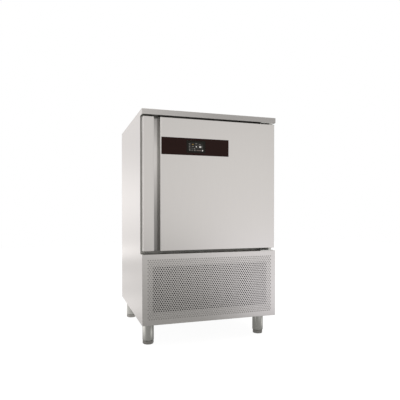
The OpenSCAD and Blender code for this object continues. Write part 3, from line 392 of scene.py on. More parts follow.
# %% Make a piece
def piece(name, shape, finish, body, slot, *stands_for, wall=0.0):
    """A mesh object from points in mm and faces. A wall gives an open shell its thickness, inwards."""
    mesh = bpy.data.meshes.new(name)
    mesh.from_pydata((np.asarray(shape[0]) * MM).tolist(), [], shape[1])
    work = bmesh.new()
    work.from_mesh(mesh)
    bmesh.ops.remove_doubles(work, verts=work.verts, dist=1e-6)
    bmesh.ops.recalc_face_normals(work, faces=work.faces)
    work.to_mesh(mesh)
    work.free()
    mesh.polygons.foreach_set("use_smooth", np.ones(len(mesh.polygons), bool))
    mesh.set_sharp_from_angle(angle=math.radians(35))
    mesh.materials.append(finish)
    made = bpy.data.objects.new(name, mesh)
    bpy.context.scene.collection.objects.link(made)
    if wall:
        thick = made.modifiers.new("sheet", "SOLIDIFY")
        thick.thickness, thick.offset, thick.use_even_offset = wall * MM, -1, True
    made.modifiers.new("flat faces stay flat", "WEIGHTED_NORMAL").keep_sharp = True
    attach(made, body)
    if stands_for:
        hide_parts(*stands_for)
    print(f"{name}: {len(mesh.vertices)} points, {len(mesh.polygons)} faces")
    return made


# %% [markdown]
# ## Sizes taken from the frame
# Each plane that the new pieces need is read from a CAD node's box, in millimetres. So the looks follow
# the model if it changes.

# %% Planes of the cabinet
def box_mm(name):
    """A node's lowest and highest corner in mm, as x0, y0, z0, x1, y1, z1."""
    low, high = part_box(name)
    return [round(v / MM, 3) for v in (*low, *high)]


SHEET = 1.2
x0, y0, z_apron, x1, y_rear, z_top = box_mm("top_panel")
_, y_skin, z_base, _, _, z_roof = box_mm("side_panel_left")
_, y_frame, z_shelf, _, y_mouth, _ = box_mm("front_frame")
x_in = x1 - SHEET
print("cabinet", x0, x1, y0, y_rear, z_base, z_top)

# %% [markdown]
# ## Cabinet sheets
# The side sheets are cut back beside the door. The top is one sheet with a bend of 3 mm over the front
# edge: it comes down as the apron and turns back under it. A bent sheet is best made as its section,
# rounded and then drawn out in length.

# %% Side sheets and top
notch = [(y_skin, z_base), (y_rear, z_base), (y_rear, z_roof), (y_skin, z_roof),
         (y_skin, z_apron), (y_frame, z_apron), (y_frame, z_shelf), (y_skin, z_shelf)]
side_outline = rounded(notch, 0.8, 3)
SIDES = [("side_sheet_left", x0, "side_panel_left"), ("side_sheet_right", x_in, "side_panel_right")]
for name, start, node_name in SIDES:
    shape = axes(slab(side_outline, start, start + SHEET, 0.4), FROM_YZ)
    piece(name, shape, steel_side, "cabinet", "side_steel", node_name)

BEND_OUT = 3
over = rounded([(y_rear, z_top), (y0, z_top), (y0, z_apron)], BEND_OUT, 6, closed=False)
under = rounded([(y_skin, z_apron), (y_skin, z_roof), (y_rear, z_roof)], BEND_OUT - SHEET, 6, closed=False)
bend = axes(loft([at_height(np.concatenate([over, under]), x) for x in (x0, x1)]), FROM_YZ)
lip = rounded([(y_skin, z_apron), (y_mouth, z_apron), (y_mouth, z_apron + SHEET), (y_skin, z_apron + SHEET)], 0.4, 2)
piece("top_sheet", join(bend, axes(slab(lip, -x_in, x_in, 0.2), FROM_YZ)), steel_top_painted_reflection, "cabinet", "top_steel",
      "top_panel")

# %% [markdown]
# ## Perforated panel
# The lower panel is punched with 8 mm round holes in staggered rows. Thousands of boolean cuts would be slow
# and messy, so each hole is a small cell instead: twelve points round a rectangle, joined to twelve points
# round the hole. The rectangle's points lie at quarters of the pitch, so that rows shifted by
# half a pitch meet point to point. The border is a loft from the field's edge out to a rounded rim.

# %% Perforated panel
PITCH_X, PITCH_Z, HOLE_R, ROWS, ACROSS = 13.2, 10.24, 4.0, 32, 55
_, _, low_z, _, back_y, high_z = box_mm("front_grille_panel")
middle_z = (low_z + high_z) / 2

around = np.array([(2, 0), (2, 1), (1, 1), (0, 1), (-1, 1), (-2, 1), (-2, 0), (-2, -1), (-1, -1), (0, -1), (1, -1),
                   (2, -1)]) * (PITCH_X / 4, PITCH_Z / 2)
spokes = np.arange(12) * np.pi / 6
hole = HOLE_R * np.stack([np.cos(spokes), np.sin(spokes)], 1)
row = np.repeat(np.arange(ROWS), ACROSS + 1)
column = np.tile(np.arange(ACROSS + 1), ROWS)
keep = (row % 2 == 1) | (column < ACROSS)
row, column = row[keep], column[keep]
shift_x = np.where(row % 2 == 1, ACROSS / 2, (ACROSS - 1) / 2)
centres = np.stack([(column - shift_x) * PITCH_X, (row - (ROWS - 1) / 2) * PITCH_Z], 1)
rings = [(around, y0), (hole, y0), (hole, back_y), (around, back_y)]
cell_points = np.stack([np.concatenate([
    (centres[:, None] + ring), np.full((len(centres), 12, 1), y)], -1) for ring, y in rings], 1)
first = np.arange(len(centres))[:, None, None] * 48
i, j = np.arange(3)[None, :, None] * 12, np.arange(12)[None, None, :]
quads = np.stack([first + i + j, first + i + (j + 1) % 12, first + i + 12 + (j + 1) % 12, first + i + 12 + j], -1)
field = (cell_points.reshape(-1, 3), quads.reshape(-1, 4).tolist())

half_x, half_z = (ACROSS + 1) / 2 * PITCH_X, ROWS / 2 * PITCH_Z
blank = np.array([(0, -1), (1, -1), (2, -1), (2, 0), (2, 1), (1, 1), (0, 1), (0, 0)]) * (PITCH_X / 4, PITCH_Z / 2)
even = (np.arange(0, ROWS, 2) - (ROWS - 1) / 2) * PITCH_Z
blank_points = np.array([np.column_stack([blank * (side, 1) + (side * (half_x - PITCH_X / 2), z), np.full(8, y)])
                         for z in even for side in (-1, 1) for y in (y0, back_y)])
ends = (blank_points.reshape(-1, 3), np.arange(blank_points.size // 3).reshape(-1, 8).tolist())

run_x = np.linspace(-half_x, half_x, 4 * (ACROSS + 1) + 1)
run_z = np.linspace(-half_z, half_z, 2 * ROWS + 1)
edge_loop = np.concatenate([
    np.stack([run_x, np.full_like(run_x, -half_z)], 1)[:-1], np.stack([np.full_like(run_z, half_x), run_z], 1)[:-1],
    np.stack([run_x[::-1], np.full_like(run_x, half_z)], 1)[:-1],
    np.stack([np.full_like(run_z, -half_x), run_z[::-1]], 1)[:-1]])


def grown(draw):
    """The field's edge carried out to the panel's rim, less draw mm: each coordinate in proportion."""
    return edge_loop * ((x1 - draw) / half_x, ((high_z - low_z) / 2 - draw) / half_z)


RIM = [(1.0, y0), (0.45, y0 + 0.15), (0.12, y0 + 0.5), (0.0, back_y)]           # mm drawn in, and depth
border = loft([at_height(edge_loop, y0), *(at_height(grown(draw), y) for draw, y in RIM),
               at_height(edge_loop, back_y)], capped=False)
shape = axes(join(field, ends, border), FROM_XZ, (0, 0, middle_z))
piece("perforated_panel", shape, steel_grille, "cabinet", "front_steel", "front_grille_panel")
print("holes", len(centres))

# %% [markdown]
# ## Filter mat
# Behind the middle of the field the holes look nearly black, and round it they look lighter. A dark washable
# mat, which keeps dust off the condenser, explains the first, and the steel strips that frame its
# opening explain the second. The mat is a thin plate of open-cell foam against the back of the strips.

# %% Filter mat
mat_x0, mat_y0, mat_z0, mat_x1, mat_y1, mat_z1 = box_mm("condenser_filter")
mat = slab(rectangle(mat_x0, mat_x1, mat_z0, mat_z1, 4, 3), mat_y0, mat_y1, 1.0)
piece("condenser_filter_mat", axes(mat, FROM_XZ), filter_foam, "cabinet", "filter_foam", "condenser_filter")

# %% [markdown]
# ## Legs and feet
# A stainless tube stands under each corner, closed at the bottom by a nut, and a foot screws up into it. Its
# pad is a hexagon for a spanner, with its corners turned off below, as on any nut. In polar coordinates
# that takes one formula: at each angle the radius is the smaller of the hexagon's and the lathe's.
# The foot rides on its own body, because it moves.

# %% Legs and feet
FOOT_NODES = ("foot_front_left", "foot_front_right", "foot_rear_left", "foot_rear_right")
leg_z0 = box_mm("leg_sleeves")[2]
TUBE_R, TUBE_WALL, NUT_H, SCREW_R = 32, 3, 15, 8.05
PAD_GAP, STEM_R = 1, 8                  # the pad's distance from the nut, and the radius of the foot's screw
tube = rounded([(SCREW_R, leg_z0), (TUBE_R - 1.5, leg_z0), (TUBE_R, leg_z0 + 1.5), (TUBE_R, z_base),
                (TUBE_R - TUBE_WALL, z_base), (TUBE_R - TUBE_WALL, leg_z0 + NUT_H), (SCREW_R, leg_z0 + NUT_H)],
               [0.3, 0.6, 0.6, 0.3, 0.3, 0.3, 0.3], 4)


def hexagonal(profile, corner_r, segments=144):
    """Each (limit, height) of the profile is a loop with radius min(limit, a / cos t), where a is half the
    width across flats, corner_r cos 30, and t the angle from the middle of the nearest flat."""
    profile = np.asarray(profile, float)
    angle = np.arange(segments) / segments * 2 * np.pi
    from_flat = angle % (np.pi / 3) - np.pi / 6
    radius = np.minimum(profile[:, :1], corner_r * math.cos(math.pi / 6) / np.cos(from_flat))
    return loft(np.stack([radius * np.cos(angle), radius * np.sin(angle),
                          np.broadcast_to(profile[:, 1:], radius.shape)], -1), capped=False)


tubes = []
for name in FOOT_NODES:
    fx0, fy0, fz0, fx1, fy1, fz1 = box_mm(name)
    centre = ((fx0 + fx1) / 2, (fy0 + fy1) / 2)
    corner_r, pad_top = (fx1 - fx0) / 2, leg_z0 - PAD_GAP
    tubes.append(lathe(tube, 96, centre, wrap=True))
    turned = rounded([(0, fz0), (corner_r - 4, fz0), (corner_r - 0.5, fz0 + 3.5), (corner_r - 0.5, pad_top - 1),
                      (corner_r - 5.5, pad_top), (STEM_R, pad_top), (STEM_R, fz1), (0, fz1)],
                     [0, 1, 1, 0.3, 0.3, 0.4, 1, 0], 4, closed=False)
    shape = axes(hexagonal(turned, corner_r), [0, 1, 2], (*centre, 0))
    piece(name + "_turned", shape, steel_foot, name, "foot_steel", name)
piece("leg_tubes", join(*tubes), steel_leg, "cabinet", "leg_steel", "leg_sleeves")

# %% [markdown]
# ## Door pans
# The door's outer sheet is two folded pans with the grip channel between them. A pan is a stack of rectangles
# that grow as they go back, along a quarter round of 2 mm, and then run straight to the inner panel.
# On the channel's side the big pan has a wide bevel, and behind it a wall that leans into the channel. The
# pan's shell is open at the back, and its thickness comes from Solidify.

# %% Door pans
BEND, BEVEL, LEAN = 2.0, 5.0, 12        # LEAN is from the big pan's front edge to the root of its left wall
door_x0, door_y, door_z0, strip_x, pan_back, door_z1 = box_mm("door_handle_strip")
door_x1 = box_mm("door_skin")[3]
_, channel_y, _, root_x, _, _ = box_mm("door_handle_channel")
edge_x = root_x + LEAN


def drawn_in(d):
    """How far the quarter round lies inside the pan's side at depth d: r (1 - sqrt(1 - (1 - d / r)^2))."""
    return BEND * (1 - math.sqrt(1 - max(0.0, 1 - d / BEND) ** 2))


def pan_loop(left, right, draw, depth):
    """The pan's rectangle at that depth behind its face, drawn in at its right, top and bottom."""
    return at_height(rectangle(left, right - draw, door_z0 + draw, door_z1 - draw, 1.2, 3), door_y + depth)


depths = np.array([0.0, 0.06, 0.25, 0.6, 1.1, 2.0, pan_back - door_y])
strip_loops = [pan_loop(door_x0 + drawn_in(d), strip_x, drawn_in(d), d) for d in depths]
strip_points, strip_faces = loft(strip_loops, capped=False)
strip_faces.append(list(range(len(strip_loops[0])))[::-1])          # closes the front: the back stays open
piece("door_strip_pan", axes((strip_points, strip_faces), FROM_XZ), steel_door, "door", "front_steel",
      "door_handle_strip", wall=SHEET)

ARC = 1.5 * math.tan(math.pi / 8)       # where the small round before the bevel begins
left_depth = np.array([0.0, 0.114, 0.44, 1.0, 1.5, 2.0, 4.7, 5.2, 6.0, channel_y - door_y, pan_back - door_y])
left_x = edge_x + np.array([ARC, 0.05, -0.44, -1.0, -1.5, -2.0, -4.65, -BEVEL - 0.05, -BEVEL - 0.2, -LEAN, -LEAN])
wx0, _, wz0, wx1, _, wz1 = box_mm("display_screen")
window = rectangle(wx0 - 0.3, wx1 + 0.3, wz0 - 0.3, wz1 + 0.3, 0.6, 3)
main_loops = [at_height(window, door_y + SHEET), at_height(window, door_y)]
main_loops += [pan_loop(x, door_x1, drawn_in(d), d) for x, d in zip(left_x, left_depth)]
piece("door_main_pan", axes(loft(main_loops, capped=False), FROM_XZ), steel_door, "door", "front_steel",
      "door_skin", wall=SHEET)

back = rectangle(strip_x, root_x, channel_y, channel_y + SHEET, 0.2, 2)
piece("door_channel_back", slab(back, door_z0, door_z1, 0.2), steel_channel_painted_shade, "door", "front_steel",
      "door_handle_channel")

# %% [markdown]
# ## Inside of the door
# The inner sheet is pressed: its middle stands 5 mm proud, which stiffens it. The gasket is a soft vinyl
# strip with a magnet in its bulb. It is a profile carried round the door, and the corners are mitred as
# the real one is welded, so each point of the profile needs only four points.

# %% Inner panel and gasket
ix0, iy0, iz0, ix1, iy1, iz1 = box_mm("door_inner_panel")
_, gy0, gz0, gx1, gy1, gz1 = box_mm("door_gasket")
GASKET_W, MARGIN = 24, 14
PRESSING = [(0, 0, 20), (3, 0.8, 17), (9, 4.2, 12), (12, 5, 9)]     # drawn in, proud, corner radius
field_x = gx1 - GASKET_W - MARGIN
field_z = (gz1 - gz0) / 2 - GASKET_W - MARGIN
gasket_z = (gz0 + gz1) / 2


def pressed(draw, y, radius):
    """The pressed field's outline, drawn in, at depth y."""
    return at_height(rectangle(-field_x + draw, field_x - draw, gasket_z - field_z + draw,
                               gasket_z + field_z - draw, radius, 4), y)


sheet_loop = rectangle(ix0, ix1, iz0, iz1, 1.0, 4)
inner = loft([at_height(sheet_loop, iy0), at_height(sheet_loop, iy1),
              *(pressed(draw, iy1 + proud, radius) for draw, proud, radius in PRESSING)])
piece("door_inner_sheet", axes(inner, FROM_XZ), steel_inner, "door", "inner_steel", "door_inner_panel")

seal = rounded([(0, gy0), (GASKET_W, gy0), (GASKET_W, gy0 + 2.6), (20.5, gy0 + 3.4), (18, gy0 + 4.6), (20, gy0 + 5.8),
                (20, gy1), (4, gy1), (4, gy0 + 5.8), (6, gy0 + 4.6), (3.5, gy0 + 3.4), (0, gy0 + 2.6)],
               [0.3, 0.3, 0.8, 0.5, 0.5, 0.6, 1.2, 1.2, 0.6, 0.5, 0.5, 0.8], 3)
out_x, out_z = gx1 - GASKET_W + seal[:, 0], (gz1 - gz0) / 2 - GASKET_W + seal[:, 0]
corner = np.array([(-1, -1), (1, -1), (1, 1), (-1, 1)])
carried = np.stack([out_x[:, None] * corner[:, 0], np.broadcast_to(seal[:, 1:], (len(seal), 4)),
                    gasket_z + out_z[:, None] * corner[:, 1]], -1)
piece("door_seal", loft(carried, capped=False, wrap=True), vinyl, "door", "gasket_vinyl", "door_gasket")

# %% [markdown]
# ## Control panel
# A dark acrylic sheet is stuck on the door, cut out for the display. Behind it the display's own
# glass lies a little deeper. What the display shows is kept plain: rows of small bars and a few bright
# fields. Each is a sliver of plate just in front of the glass.

# %% Control panel
px0, py0, pz0, px1, py1, pz1 = box_mm("control_fascia")
_, dy0, _, _, dy1, _ = box_mm("display_screen")
plate = rectangle(px0, px1, pz0, pz1, 1.2, 3)
fascia = loft([at_height(window, py1), at_height(window, py0), at_height(inset(plate, 0.3), py0),
               at_height(inset(plate, 0.09), py0 + 0.09), at_height(plate, py0 + 0.3), at_height(plate, py1)],
              capped=False, wrap=True)
piece("control_fascia_sheet", axes(fascia, FROM_XZ), fascia_gloss, "door", "fascia_gloss", "control_fascia")
glass = slab(rectangle(wx0, wx1, wz0, wz1, 1.0, 3), dy0, dy1, 0.2)
piece("display_cover", axes(glass, FROM_XZ), display_glass, "door", "display_glass", "display_screen")


SLIVER = 0.02                           # how far a mark's plate is sunk in the glass, and its edge's radius


def plates(marks, front):
    """One thin plate for each mark, given as its middle x, z, its width and its height."""
    made = []
    for x, z, w, h in marks:
        outline = rectangle(x - w / 2, x + w / 2, z - h / 2, z + h / 2, min(w, h) * 0.3, 3)
        made.append(slab(outline, front, dy0 + SLIVER, SLIVER, 1))
    return axes(join(*made), FROM_XZ)


MARKS = {
    "display_area": (display_lit, dy0 - 0.04, [(-96.4, 1097.8, 87.6, 50)]),
    "display_bars": (mark_grey, dy0 - 0.09, [
        (-132, 1114, 9, 3), (-131, 1107, 8, 3), (-93.5, 1115.5, 11, 4), (-73, 1111, 13, 3), (-132, 1099, 7, 4),
        (-113, 1099.5, 11, 4), (-131, 1090, 7, 4), (-118, 1089.5, 3, 5), (-104, 1089, 8, 6), (-131, 1079.5, 8, 6),
        (-117, 1079, 9, 3), (-102, 1079, 8, 6), (-78, 1104.5, 44, 0.9), (-78, 1092.5, 44, 0.9),
        (-57, 1098.5, 0.9, 12)]),
    "display_fields": (mark_white, dy0 - 0.12, [(-70.5, 1098.5, 12, 8), (-57, 1078.7, 6, 7), (-93, 1099, 6, 6)]),
    "display_amber_field": (mark_amber, dy0 - 0.11, [(-113.5, 1111, 9, 5)]),
    "display_bar_low": (mark_brown, dy0 - 0.10, [(-79, 1079, 27, 5)]),
}
for name, (finish, front, marks) in MARKS.items():
    piece(name, plates(marks, front), finish, "door", "display_glass")

# %% [markdown]
# ## Hinges
# The door turns on two pins. The lower one stands on a plate with a collar that carries the door's weight,
# and the upper one hangs from a plate under the apron. Two domed screws hold each plate.

# %% Hinges
hx0, hy0, hz0, hx1, hy1, hz1 = box_mm("hinge_bracket_bottom")
tx0, ty0, tz0, tx1, ty1, tz1 = box_mm("hinge_bracket_top")
PIVOT = (366.0, -380.0)                 # the door's axis, seen from above
COLLAR_R, COLLAR_H, PIN_R, LOW_T, HIGH_T = 11, 13.7, 5, 4, 3
HEAD_R, HEAD_H = 5, 2.5
collar_z = hz0 + COLLAR_H
pin_low = lathe(rounded([(0, hz0), (COLLAR_R, hz0), (COLLAR_R, collar_z), (PIN_R, collar_z), (PIN_R, hz1), (0, hz1)],
                        [0, 0.3, 1.0, 0.3, 0.8, 0], 4, closed=False), 48, PIVOT)
base_low = slab(rectangle(hx0, hx1, hy0, hy1, 5, 5), hz0, hz0 + LOW_T, 0.6)
piece("lower_hinge", join(base_low, pin_low), steel_leg, "cabinet", "leg_steel", "hinge_bracket_bottom")
pin_high = lathe(rounded([(0, tz0), (PIN_R, tz0), (PIN_R, tz1), (0, tz1)], [0, 0.8, 0.2, 0], 4, closed=False),
                 48, PIVOT)
base_high = slab(rectangle(tx0, tx1, ty0, ty1, 5, 5), tz1 - HIGH_T, tz1, 0.5)
piece("upper_hinge", join(base_high, pin_high), steel_leg, "cabinet", "leg_steel", "hinge_bracket_top")


def screw_head(radius, height):
    """A domed head as (radius, height) points: a straight rim, and then r cos t, h (0.35 + 0.65 sin t), with t
    from 0 to a right angle, so the last point is on the axis."""
    t = np.linspace(0, np.pi / 2, 7)
    return np.concatenate([[(0, 0), (radius, 0)], np.stack([
        radius * np.cos(t), height * (0.35 + 0.65 * np.sin(t))], 1)])


sx0, _, _, sx1, _, _ = box_mm("hinge_screws")
low_head = screw_head(HEAD_R, HEAD_H) + (0, hz0 + LOW_T)
high_head = screw_head(HEAD_R, HEAD_H) * (1, -1) + (0, tz1 - HIGH_T)
heads = [lathe(head, 32, (x, PIVOT[1] + 3)) for head in (low_head, high_head) for x in (sx0 + HEAD_R, sx1 - HEAD_R)]
piece("hinge_screw_heads", join(*heads), steel_screw, "cabinet", "screw_steel", "hinge_screws")

# %% [markdown]
# ## Rear screws and cable gland
# The rear panels are held by pan-head screws. The gland is where a supply cable would come in: a hexagon nut
# under a round dome nut. No cable shows in the photograph, so there is none.

# %% Rear screws and gland
rx0, ry0, rz0, rx1, _, rz1 = box_mm("rear_screws")
PAN_R, PAN_H = 4, 2.5
FROM_SEAM, MIDDLE_Z = 14, 900           # screws above and below the two sheets' seam, and half-way up
back_x = (rx1 - rx0) / 2 - PAN_R
upper_z = (z_shelf + FROM_SEAM, MIDDLE_Z, rz1 - PAN_R)
lower_z = (rz0 + PAN_R, z_shelf - SHEET - FROM_SEAM)
places = [(x, z) for x in (-back_x, 0, back_x) for z in upper_z]
places += [(x, z) for x in (-back_x, back_x) for z in lower_z]
heads = [axes(lathe(screw_head(PAN_R, PAN_H), 24), FROM_XZ, (x, ry0, z), TURNED) for x, z in places]
piece("rear_screw_heads", join(*heads), steel_screw, "cabinet", "screw_steel", "rear_screws")

cx0, cy0, cz0, cx1, cy1, cz1 = box_mm("cable_gland")
BORE_R, THREAD_R, DOME_R, NUT_R, NUT_T, INNER_T = 6.5, 10, 13, 15, 6.5, 6
COVER_Y = 385.0                         # back face of the sheet that the two nuts clamp
sides = np.arange(6) * np.pi / 3
hexagon = rounded(NUT_R * np.stack([np.cos(sides), np.sin(sides)], 1), 1.0, 3)
nuts = [slab(hexagon, COVER_Y, COVER_Y + NUT_T, 0.8),
        slab(hexagon, COVER_Y - SHEET - INNER_T, COVER_Y - SHEET, 0.8)]
profile = [(BORE_R, cy0), (THREAD_R, cy0), (THREAD_R, COVER_Y + NUT_T), (DOME_R, COVER_Y + NUT_T),
           (DOME_R, cy1 - 2.5), (9.5, cy1), (BORE_R, cy1)]
dome = lathe(rounded(profile, [0.2, 0.4, 0.2, 0.5, 1.5, 0.8, 0.2], 4), 48, wrap=True)
place = ((cx0 + cx1) / 2, 0, (cz0 + cz1) / 2)
piece("cable_gland_nuts", axes(join(dome, *nuts), FROM_XZ, place, TURNED), black_plastic, "cabinet",
      "black_plastic", "cable_gland")

# %% [markdown]
# ## Fans
# A blade is a surface over two numbers: u runs from hub to tip and c across the blade. It turns round the
# axis with c, sweeps forward with u, climbs with c and bulges in the middle, as a pressed blade does.

# %% Fans
BLADES, HUB_R, HUB_H, SHAFT_R, BLADE_T = 5, 30, 24, 5, 1.4


def blade(hub_r, tip_r, middle, turn):
    """Angle = turn + 0.46 c (1 - 0.12 u) + 0.35 u u, radius = hub + u (tip - hub), rounded off at the tip's corners,
    height = middle + 9 c (1 - 0.3 u) + 2 (1 - c c)."""
    u, c = np.meshgrid(np.linspace(0, 1, 15), np.linspace(-1, 1, 13), indexing="ij")
    r = hub_r + u * (tip_r - hub_r) * (1 - 0.06 * np.abs(c) ** 4 * u)
    a = turn + 0.46 * c * (1 - 0.12 * u) + 0.35 * u * u
    return loft(np.stack([r * np.cos(a), r * np.sin(a), middle + 9 * c * (1 - 0.3 * u) + 2 * (1 - c * c)], -1),
                ring=False, capped=False)


for name in ("evaporator_fan_upper", "evaporator_fan_lower", "condenser_fan"):
    bx0, by0, bz0, bx1, by1, bz1 = box_mm(name)
    tip = (bx1 - bx0) / 2
    offset = ((bx0 + bx1) / 2, by0, (bz0 + bz1) / 2)
    blades = join(*[blade(HUB_R - 2, tip - 0.5, HUB_H / 2, k * 2 * math.pi / BLADES) for k in range(BLADES)])
    wheel = piece(name + "_blades", axes(blades, FROM_XZ, offset, TURNED), aluminium, name,
                  "coil_aluminium", wall=BLADE_T)
    wheel.modifiers["sheet"].offset = 0
    profile = [(0, 0), (HUB_R, 0), (HUB_R, HUB_H), (SHAFT_R, HUB_H), (SHAFT_R, by1 - by0), (0, by1 - by0)]
    hub = lathe(rounded(profile, [0, 6, 1, 1, 0.5, 0], 5, closed=False), 64)
    piece(name + "_hub", axes(hub, FROM_XZ, offset, TURNED), black_plastic, name, "black_plastic", name)

# %% [markdown]
# ## Fan guards
# Each guard is welded from 3 mm wire: rings, eight spokes and four stand-offs. A wire ring is a small circle
# carried round a large one, and a straight wire is a circle at two ends.

# %% Fan guards
WIRE, EYE_R, SPACING = 1.5, 20, 16      # the wire's radius, the open middle, from ring to ring


def wire_ring(radius, height):
    """A torus: the wire's circle carried round a ring of that radius."""
    t = np.arange(10) / 10 * 2 * np.pi
    return lathe(np.stack([radius + WIRE * np.cos(t), height + WIRE * np.sin(t)], 1), 72, wrap=True)


def rod(start, end, radius, count=10):
    """A straight wire: one circle at each end, square to the line between them."""
    start, end = np.asarray(start, float), np.asarray(end, float)
    along = (end - start) / np.linalg.norm(end - start)
    side = np.cross(along, (0, 0, 1) if abs(along[2]) < 0.9 else (1, 0, 0))
    side /= np.linalg.norm(side)
    t = np.arange(count)[:, None] / count * 2 * np.pi
    circle = radius * (np.cos(t) * side + np.sin(t) * np.cross(along, side))
    return loft([start + circle, end + circle])


def polar(radius, angle, height):
    """A point at that radius and angle round the third axis: x = r cos a, y = r sin a."""
    return radius * math.cos(angle), radius * math.sin(angle), height


qx0, qy0, _, qx1, qy1, _ = box_mm("fan_guards")
guard_r = (qx1 - qx0) / 2
foot_r = guard_r - 4
turns = np.arange(8) * np.pi / 4
guards = []
for name in ("evaporator_fan_upper", "evaporator_fan_lower"):
    _, _, bz0, _, _, bz1 = box_mm(name)
    rings = [wire_ring(r - WIRE, WIRE) for r in np.arange(guard_r, EYE_R, -SPACING)]
    spokes = [rod(polar(EYE_R, a, 1.6), polar(guard_r - 1, a, 1.6), 1.2) for a in turns]
    feet = [rod(polar(foot_r, a, 2), polar(foot_r, a, qy1 - qy0), 3, 16) for a in turns[::2]]
    guards.append(axes(join(*rings, *spokes, *feet), FROM_XZ, (0, qy0, (bz0 + bz1) / 2), TURNED))
piece("fan_wire_guards", join(*guards), steel_inner, "cabinet", "inner_steel", "fan_guards")

# %% [markdown]
# ## Floor
# For the camera the floor is mostly glow, so it comes out white, and the rest is matt, which keeps the
# shadow. A steel cabinet is made of what it mirrors, and over an even white floor it would be one even white
# shape. So metal sees a darker floor, with soft pools of painted light on it and one beam of painted light,
# a stretch that is brighter to the right of a slanting soft edge, as where daylight comes in from a side.

# %% Floor
FLOOR_HALF = 6.0
GLOW, GLOW_SHARE = (1.11, 1.11, 1.11, 1), 0.85
FLOOR_DARK, ROOM_TINT = (0.375, 0.360, 0.350, 1), (1.0, 0.956, 0.946, 1)
PATCHES = [                             # middle x, y, radius in metres, how much brighter
    (-0.78, -0.15, 0.45, 1.35), (0.62, -0.36, 0.20, 0.70), (0.0, -0.9, 0.9, -0.06), (0.6, -5.5, 2.6, 0.30),
    (3.0, -5.0, 3.0, 0.30), (-1.2, 5.0, 2.4, 1.80), (-0.7, 2.0, 2.0, 0.78), (-0.6, 0.6, 0.9, 0.64),
    (-0.12, -0.42, 0.17, 0.70),
]
BEAM_CORNER, BEAM_SLOPES, BEAM_GAIN = (-0.12, 1.03, 0), (0.14, 0.396), 0.98      # its edge lies between the slopes
BEAM_START = (1.55, 2.0)                # metres in front of that corner, between which it sets in
BEAM_TINT = (1.0, 0.95, 1.03, 1)
floor_mesh = bpy.data.meshes.new("floor")
floor_mesh.from_pydata([(-FLOOR_HALF, -FLOOR_HALF, 0), (FLOOR_HALF, -FLOOR_HALF, 0), (FLOOR_HALF, FLOOR_HALF, 0),
                        (-FLOOR_HALF, FLOOR_HALF, 0)], [], [(0, 1, 2, 3)])
floor = bpy.data.objects.new("floor", floor_mesh)
bpy.context.scene.collection.objects.link(floor)
floor_paint, tree = shade_tree("white_studio_floor")
rays = node(tree, "LightPath")
mirrored = rays.outputs["Is Glossy Ray"]
seen = node(tree, "Math", {0: rays.outputs["Is Camera Ray"], 1: mirrored}, operation="MAXIMUM")
seen = node(tree, "Math", {0: seen.outputs[0], 1: rays.outputs["Is Transmission Ray"]}, operation="MAXIMUM")
share = node(tree, "Math", {0: seen.outputs[0], 1: GLOW_SHARE}, operation="MULTIPLY")
spot = node(tree, "TexCoord").outputs["Object"]
mirror_level = 0.0
for x, y, radius, gain in PATCHES:
    away = node(tree, "VectorMath", {0: spot, 1: (x, y, 0)}, operation="DISTANCE").outputs["Value"]
    patch = node(tree, "MapRange", {"Value": away, "From Min": 0, "From Max": radius, "To Min": gain, "To Max": 0},
                 interpolation_type="SMOOTHSTEP").outputs["Result"]
    mirror_level = node(tree, "Math", {0: patch, 1: mirror_level}).outputs[0]
apart = node(tree, "VectorMath", {0: spot, 1: BEAM_CORNER}, operation="SUBTRACT").outputs["Vector"]
apart = node(tree, "SeparateXYZ", {"Vector": apart})
ahead = node(tree, "Math", {0: apart.outputs["Y"], 1: -0.01}, operation="MINIMUM").outputs[0]
slope = node(tree, "Math", {0: apart.outputs["X"], 1: ahead}, operation="DIVIDE").outputs[0]
beam = node(tree, "MapRange", {
    "Value": slope, "From Min": -BEAM_SLOPES[1], "From Max": -BEAM_SLOPES[0], "To Min": BEAM_GAIN, "To Max": 0},
    interpolation_type="SMOOTHSTEP").outputs["Result"]
reach = node(tree, "MapRange", {
    "Value": ahead, "From Min": -BEAM_START[1], "From Max": -BEAM_START[0], "To Min": 1.0, "To Max": 0.0},
    interpolation_type="SMOOTHSTEP").outputs["Result"]
beam = node(tree, "Math", {0: beam, 1: reach}, operation="MULTIPLY").outputs[0]
glossy = node(tree, "Mix", {"Factor": mirror_level, "A": FLOOR_DARK, "B": ROOM_TINT}, data_type="RGBA",
              blend_type="ADD", clamp_factor=False)
glossy = node(tree, "Mix", {"Factor": beam, "A": glossy.outputs["Result"], "B": BEAM_TINT}, data_type="RGBA",
              blend_type="ADD", clamp_factor=False)
glow = node(tree, "Mix", {"Factor": mirrored, "A": GLOW, "B": glossy.outputs["Result"]}, data_type="RGBA")
matt = node(tree, "BsdfDiffuse", {"Color": linear("eeeeee")})
glow = node(tree, "Emission", {"Color": glow.outputs["Result"], "Strength": 1.0})
mixed = node(tree, "MixShader", {"Fac": share.outputs[0], 1: matt.outputs[0], 2: glow.outputs[0]})
node(tree, "OutputMaterial", {"Surface": mixed.outputs[0]})
floor_mesh.materials.append(floor_paint)
print("floor", 2 * FLOOR_HALF, "m")

# %% [markdown]
# ## Room
# Above the floor the steel mirrors the room: one even level, with lobes added or taken away. A lobe is
# strongest in one direction and falls off with the cosine of the angle from it to a power, so a low power
# makes a wide soft lobe and a high one a narrow spot. The camera sees plain white instead.

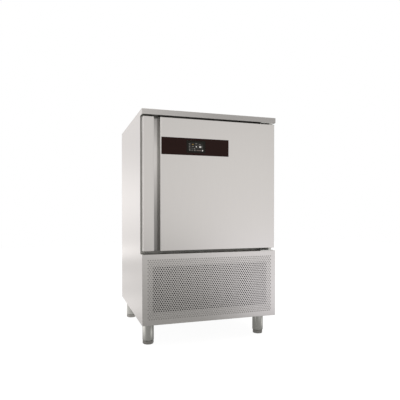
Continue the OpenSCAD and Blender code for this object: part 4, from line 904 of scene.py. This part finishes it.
# %% Room
ROOM = 1.10
LOBES = [                               # azimuth from the front, elevation, how narrow, how much brighter
    (12, 6, 40, -0.07), (28, 6, 40, 0.34), (60, 0, 6, -0.30), (45, 45, 8, -0.70), (0, 90, 3, 0.50),
    (-120, 10, 6, 0.06), (110, 10, 6, -0.60), (0, 40, 10, -0.28),
    (-171, 8.0, 600, -0.10), (-171, 1.2, 300, 0.85), (-171, 1.2, 60, -0.10),
]
world = bpy.data.worlds.new("studio")
bpy.context.scene.world = world
world.use_nodes = True
tree = world.node_tree
tree.nodes.clear()
direction = node(tree, "TexCoord").outputs["Generated"]
total = ROOM
for azimuth, elevation, power, gain in LOBES:
    turn, lift = math.radians(azimuth), math.radians(elevation)
    way = (math.sin(turn) * math.cos(lift), -math.cos(turn) * math.cos(lift), math.sin(lift))
    facing = node(tree, "VectorMath", {0: direction, 1: way}, operation="DOT_PRODUCT").outputs["Value"]
    facing = node(tree, "Math", {0: facing, 1: 0.0}, operation="MAXIMUM").outputs[0]
    facing = node(tree, "Math", {0: facing, 1: power}, operation="POWER").outputs[0]
    total = node(tree, "Math", {0: facing, 1: gain, 2: total}, operation="MULTIPLY_ADD").outputs[0]
rays = node(tree, "LightPath")
strength = node(tree, "Mix", {"Factor": rays.outputs["Is Camera Ray"], "A": total, "B": 1.0}, data_type="FLOAT")
colour = node(tree, "Mix", {"Factor": rays.outputs["Is Camera Ray"], "A": ROOM_TINT, "B": (1, 1, 1, 1)},
              data_type="RGBA")
sky = node(tree, "Background", {"Color": colour.outputs["Result"], "Strength": strength.outputs["Result"]})
node(tree, "OutputWorld", {"Surface": sky.outputs[0]})
bpy.context.scene.view_settings.view_transform = "Standard"
print("room lobes", len(LOBES))

# %% [markdown]
# ## Lamps
# Two large area lamps stand in front on the left and overhead. They are large, so that the shadow stays
# soft, and weak, because most of the light is the room's.

# %% Lamps
LAMPS = [("key", (-2.6, -1.6, 2.8), 1.8, 7.0), ("top", (0.6, 0.4, 3.4), 2.0, 5.0)]     # place, size, watts
AIM_AT = (0, 0, 0.7)
for name, spot, size, power in LAMPS:
    light = bpy.data.lights.new(name, "AREA")
    light.energy, light.size, light.color = power, size, ROOM_TINT[:3]
    lamp = bpy.data.objects.new(name, light)
    lamp.location = spot
    x, y, z = np.array(AIM_AT) - spot
    lamp.rotation_euler = (math.atan2(math.hypot(x, y), -z), 0, math.atan2(y, x) - math.pi / 2)
    bpy.context.scene.collection.objects.link(lamp)
print("lamps", len(LAMPS))
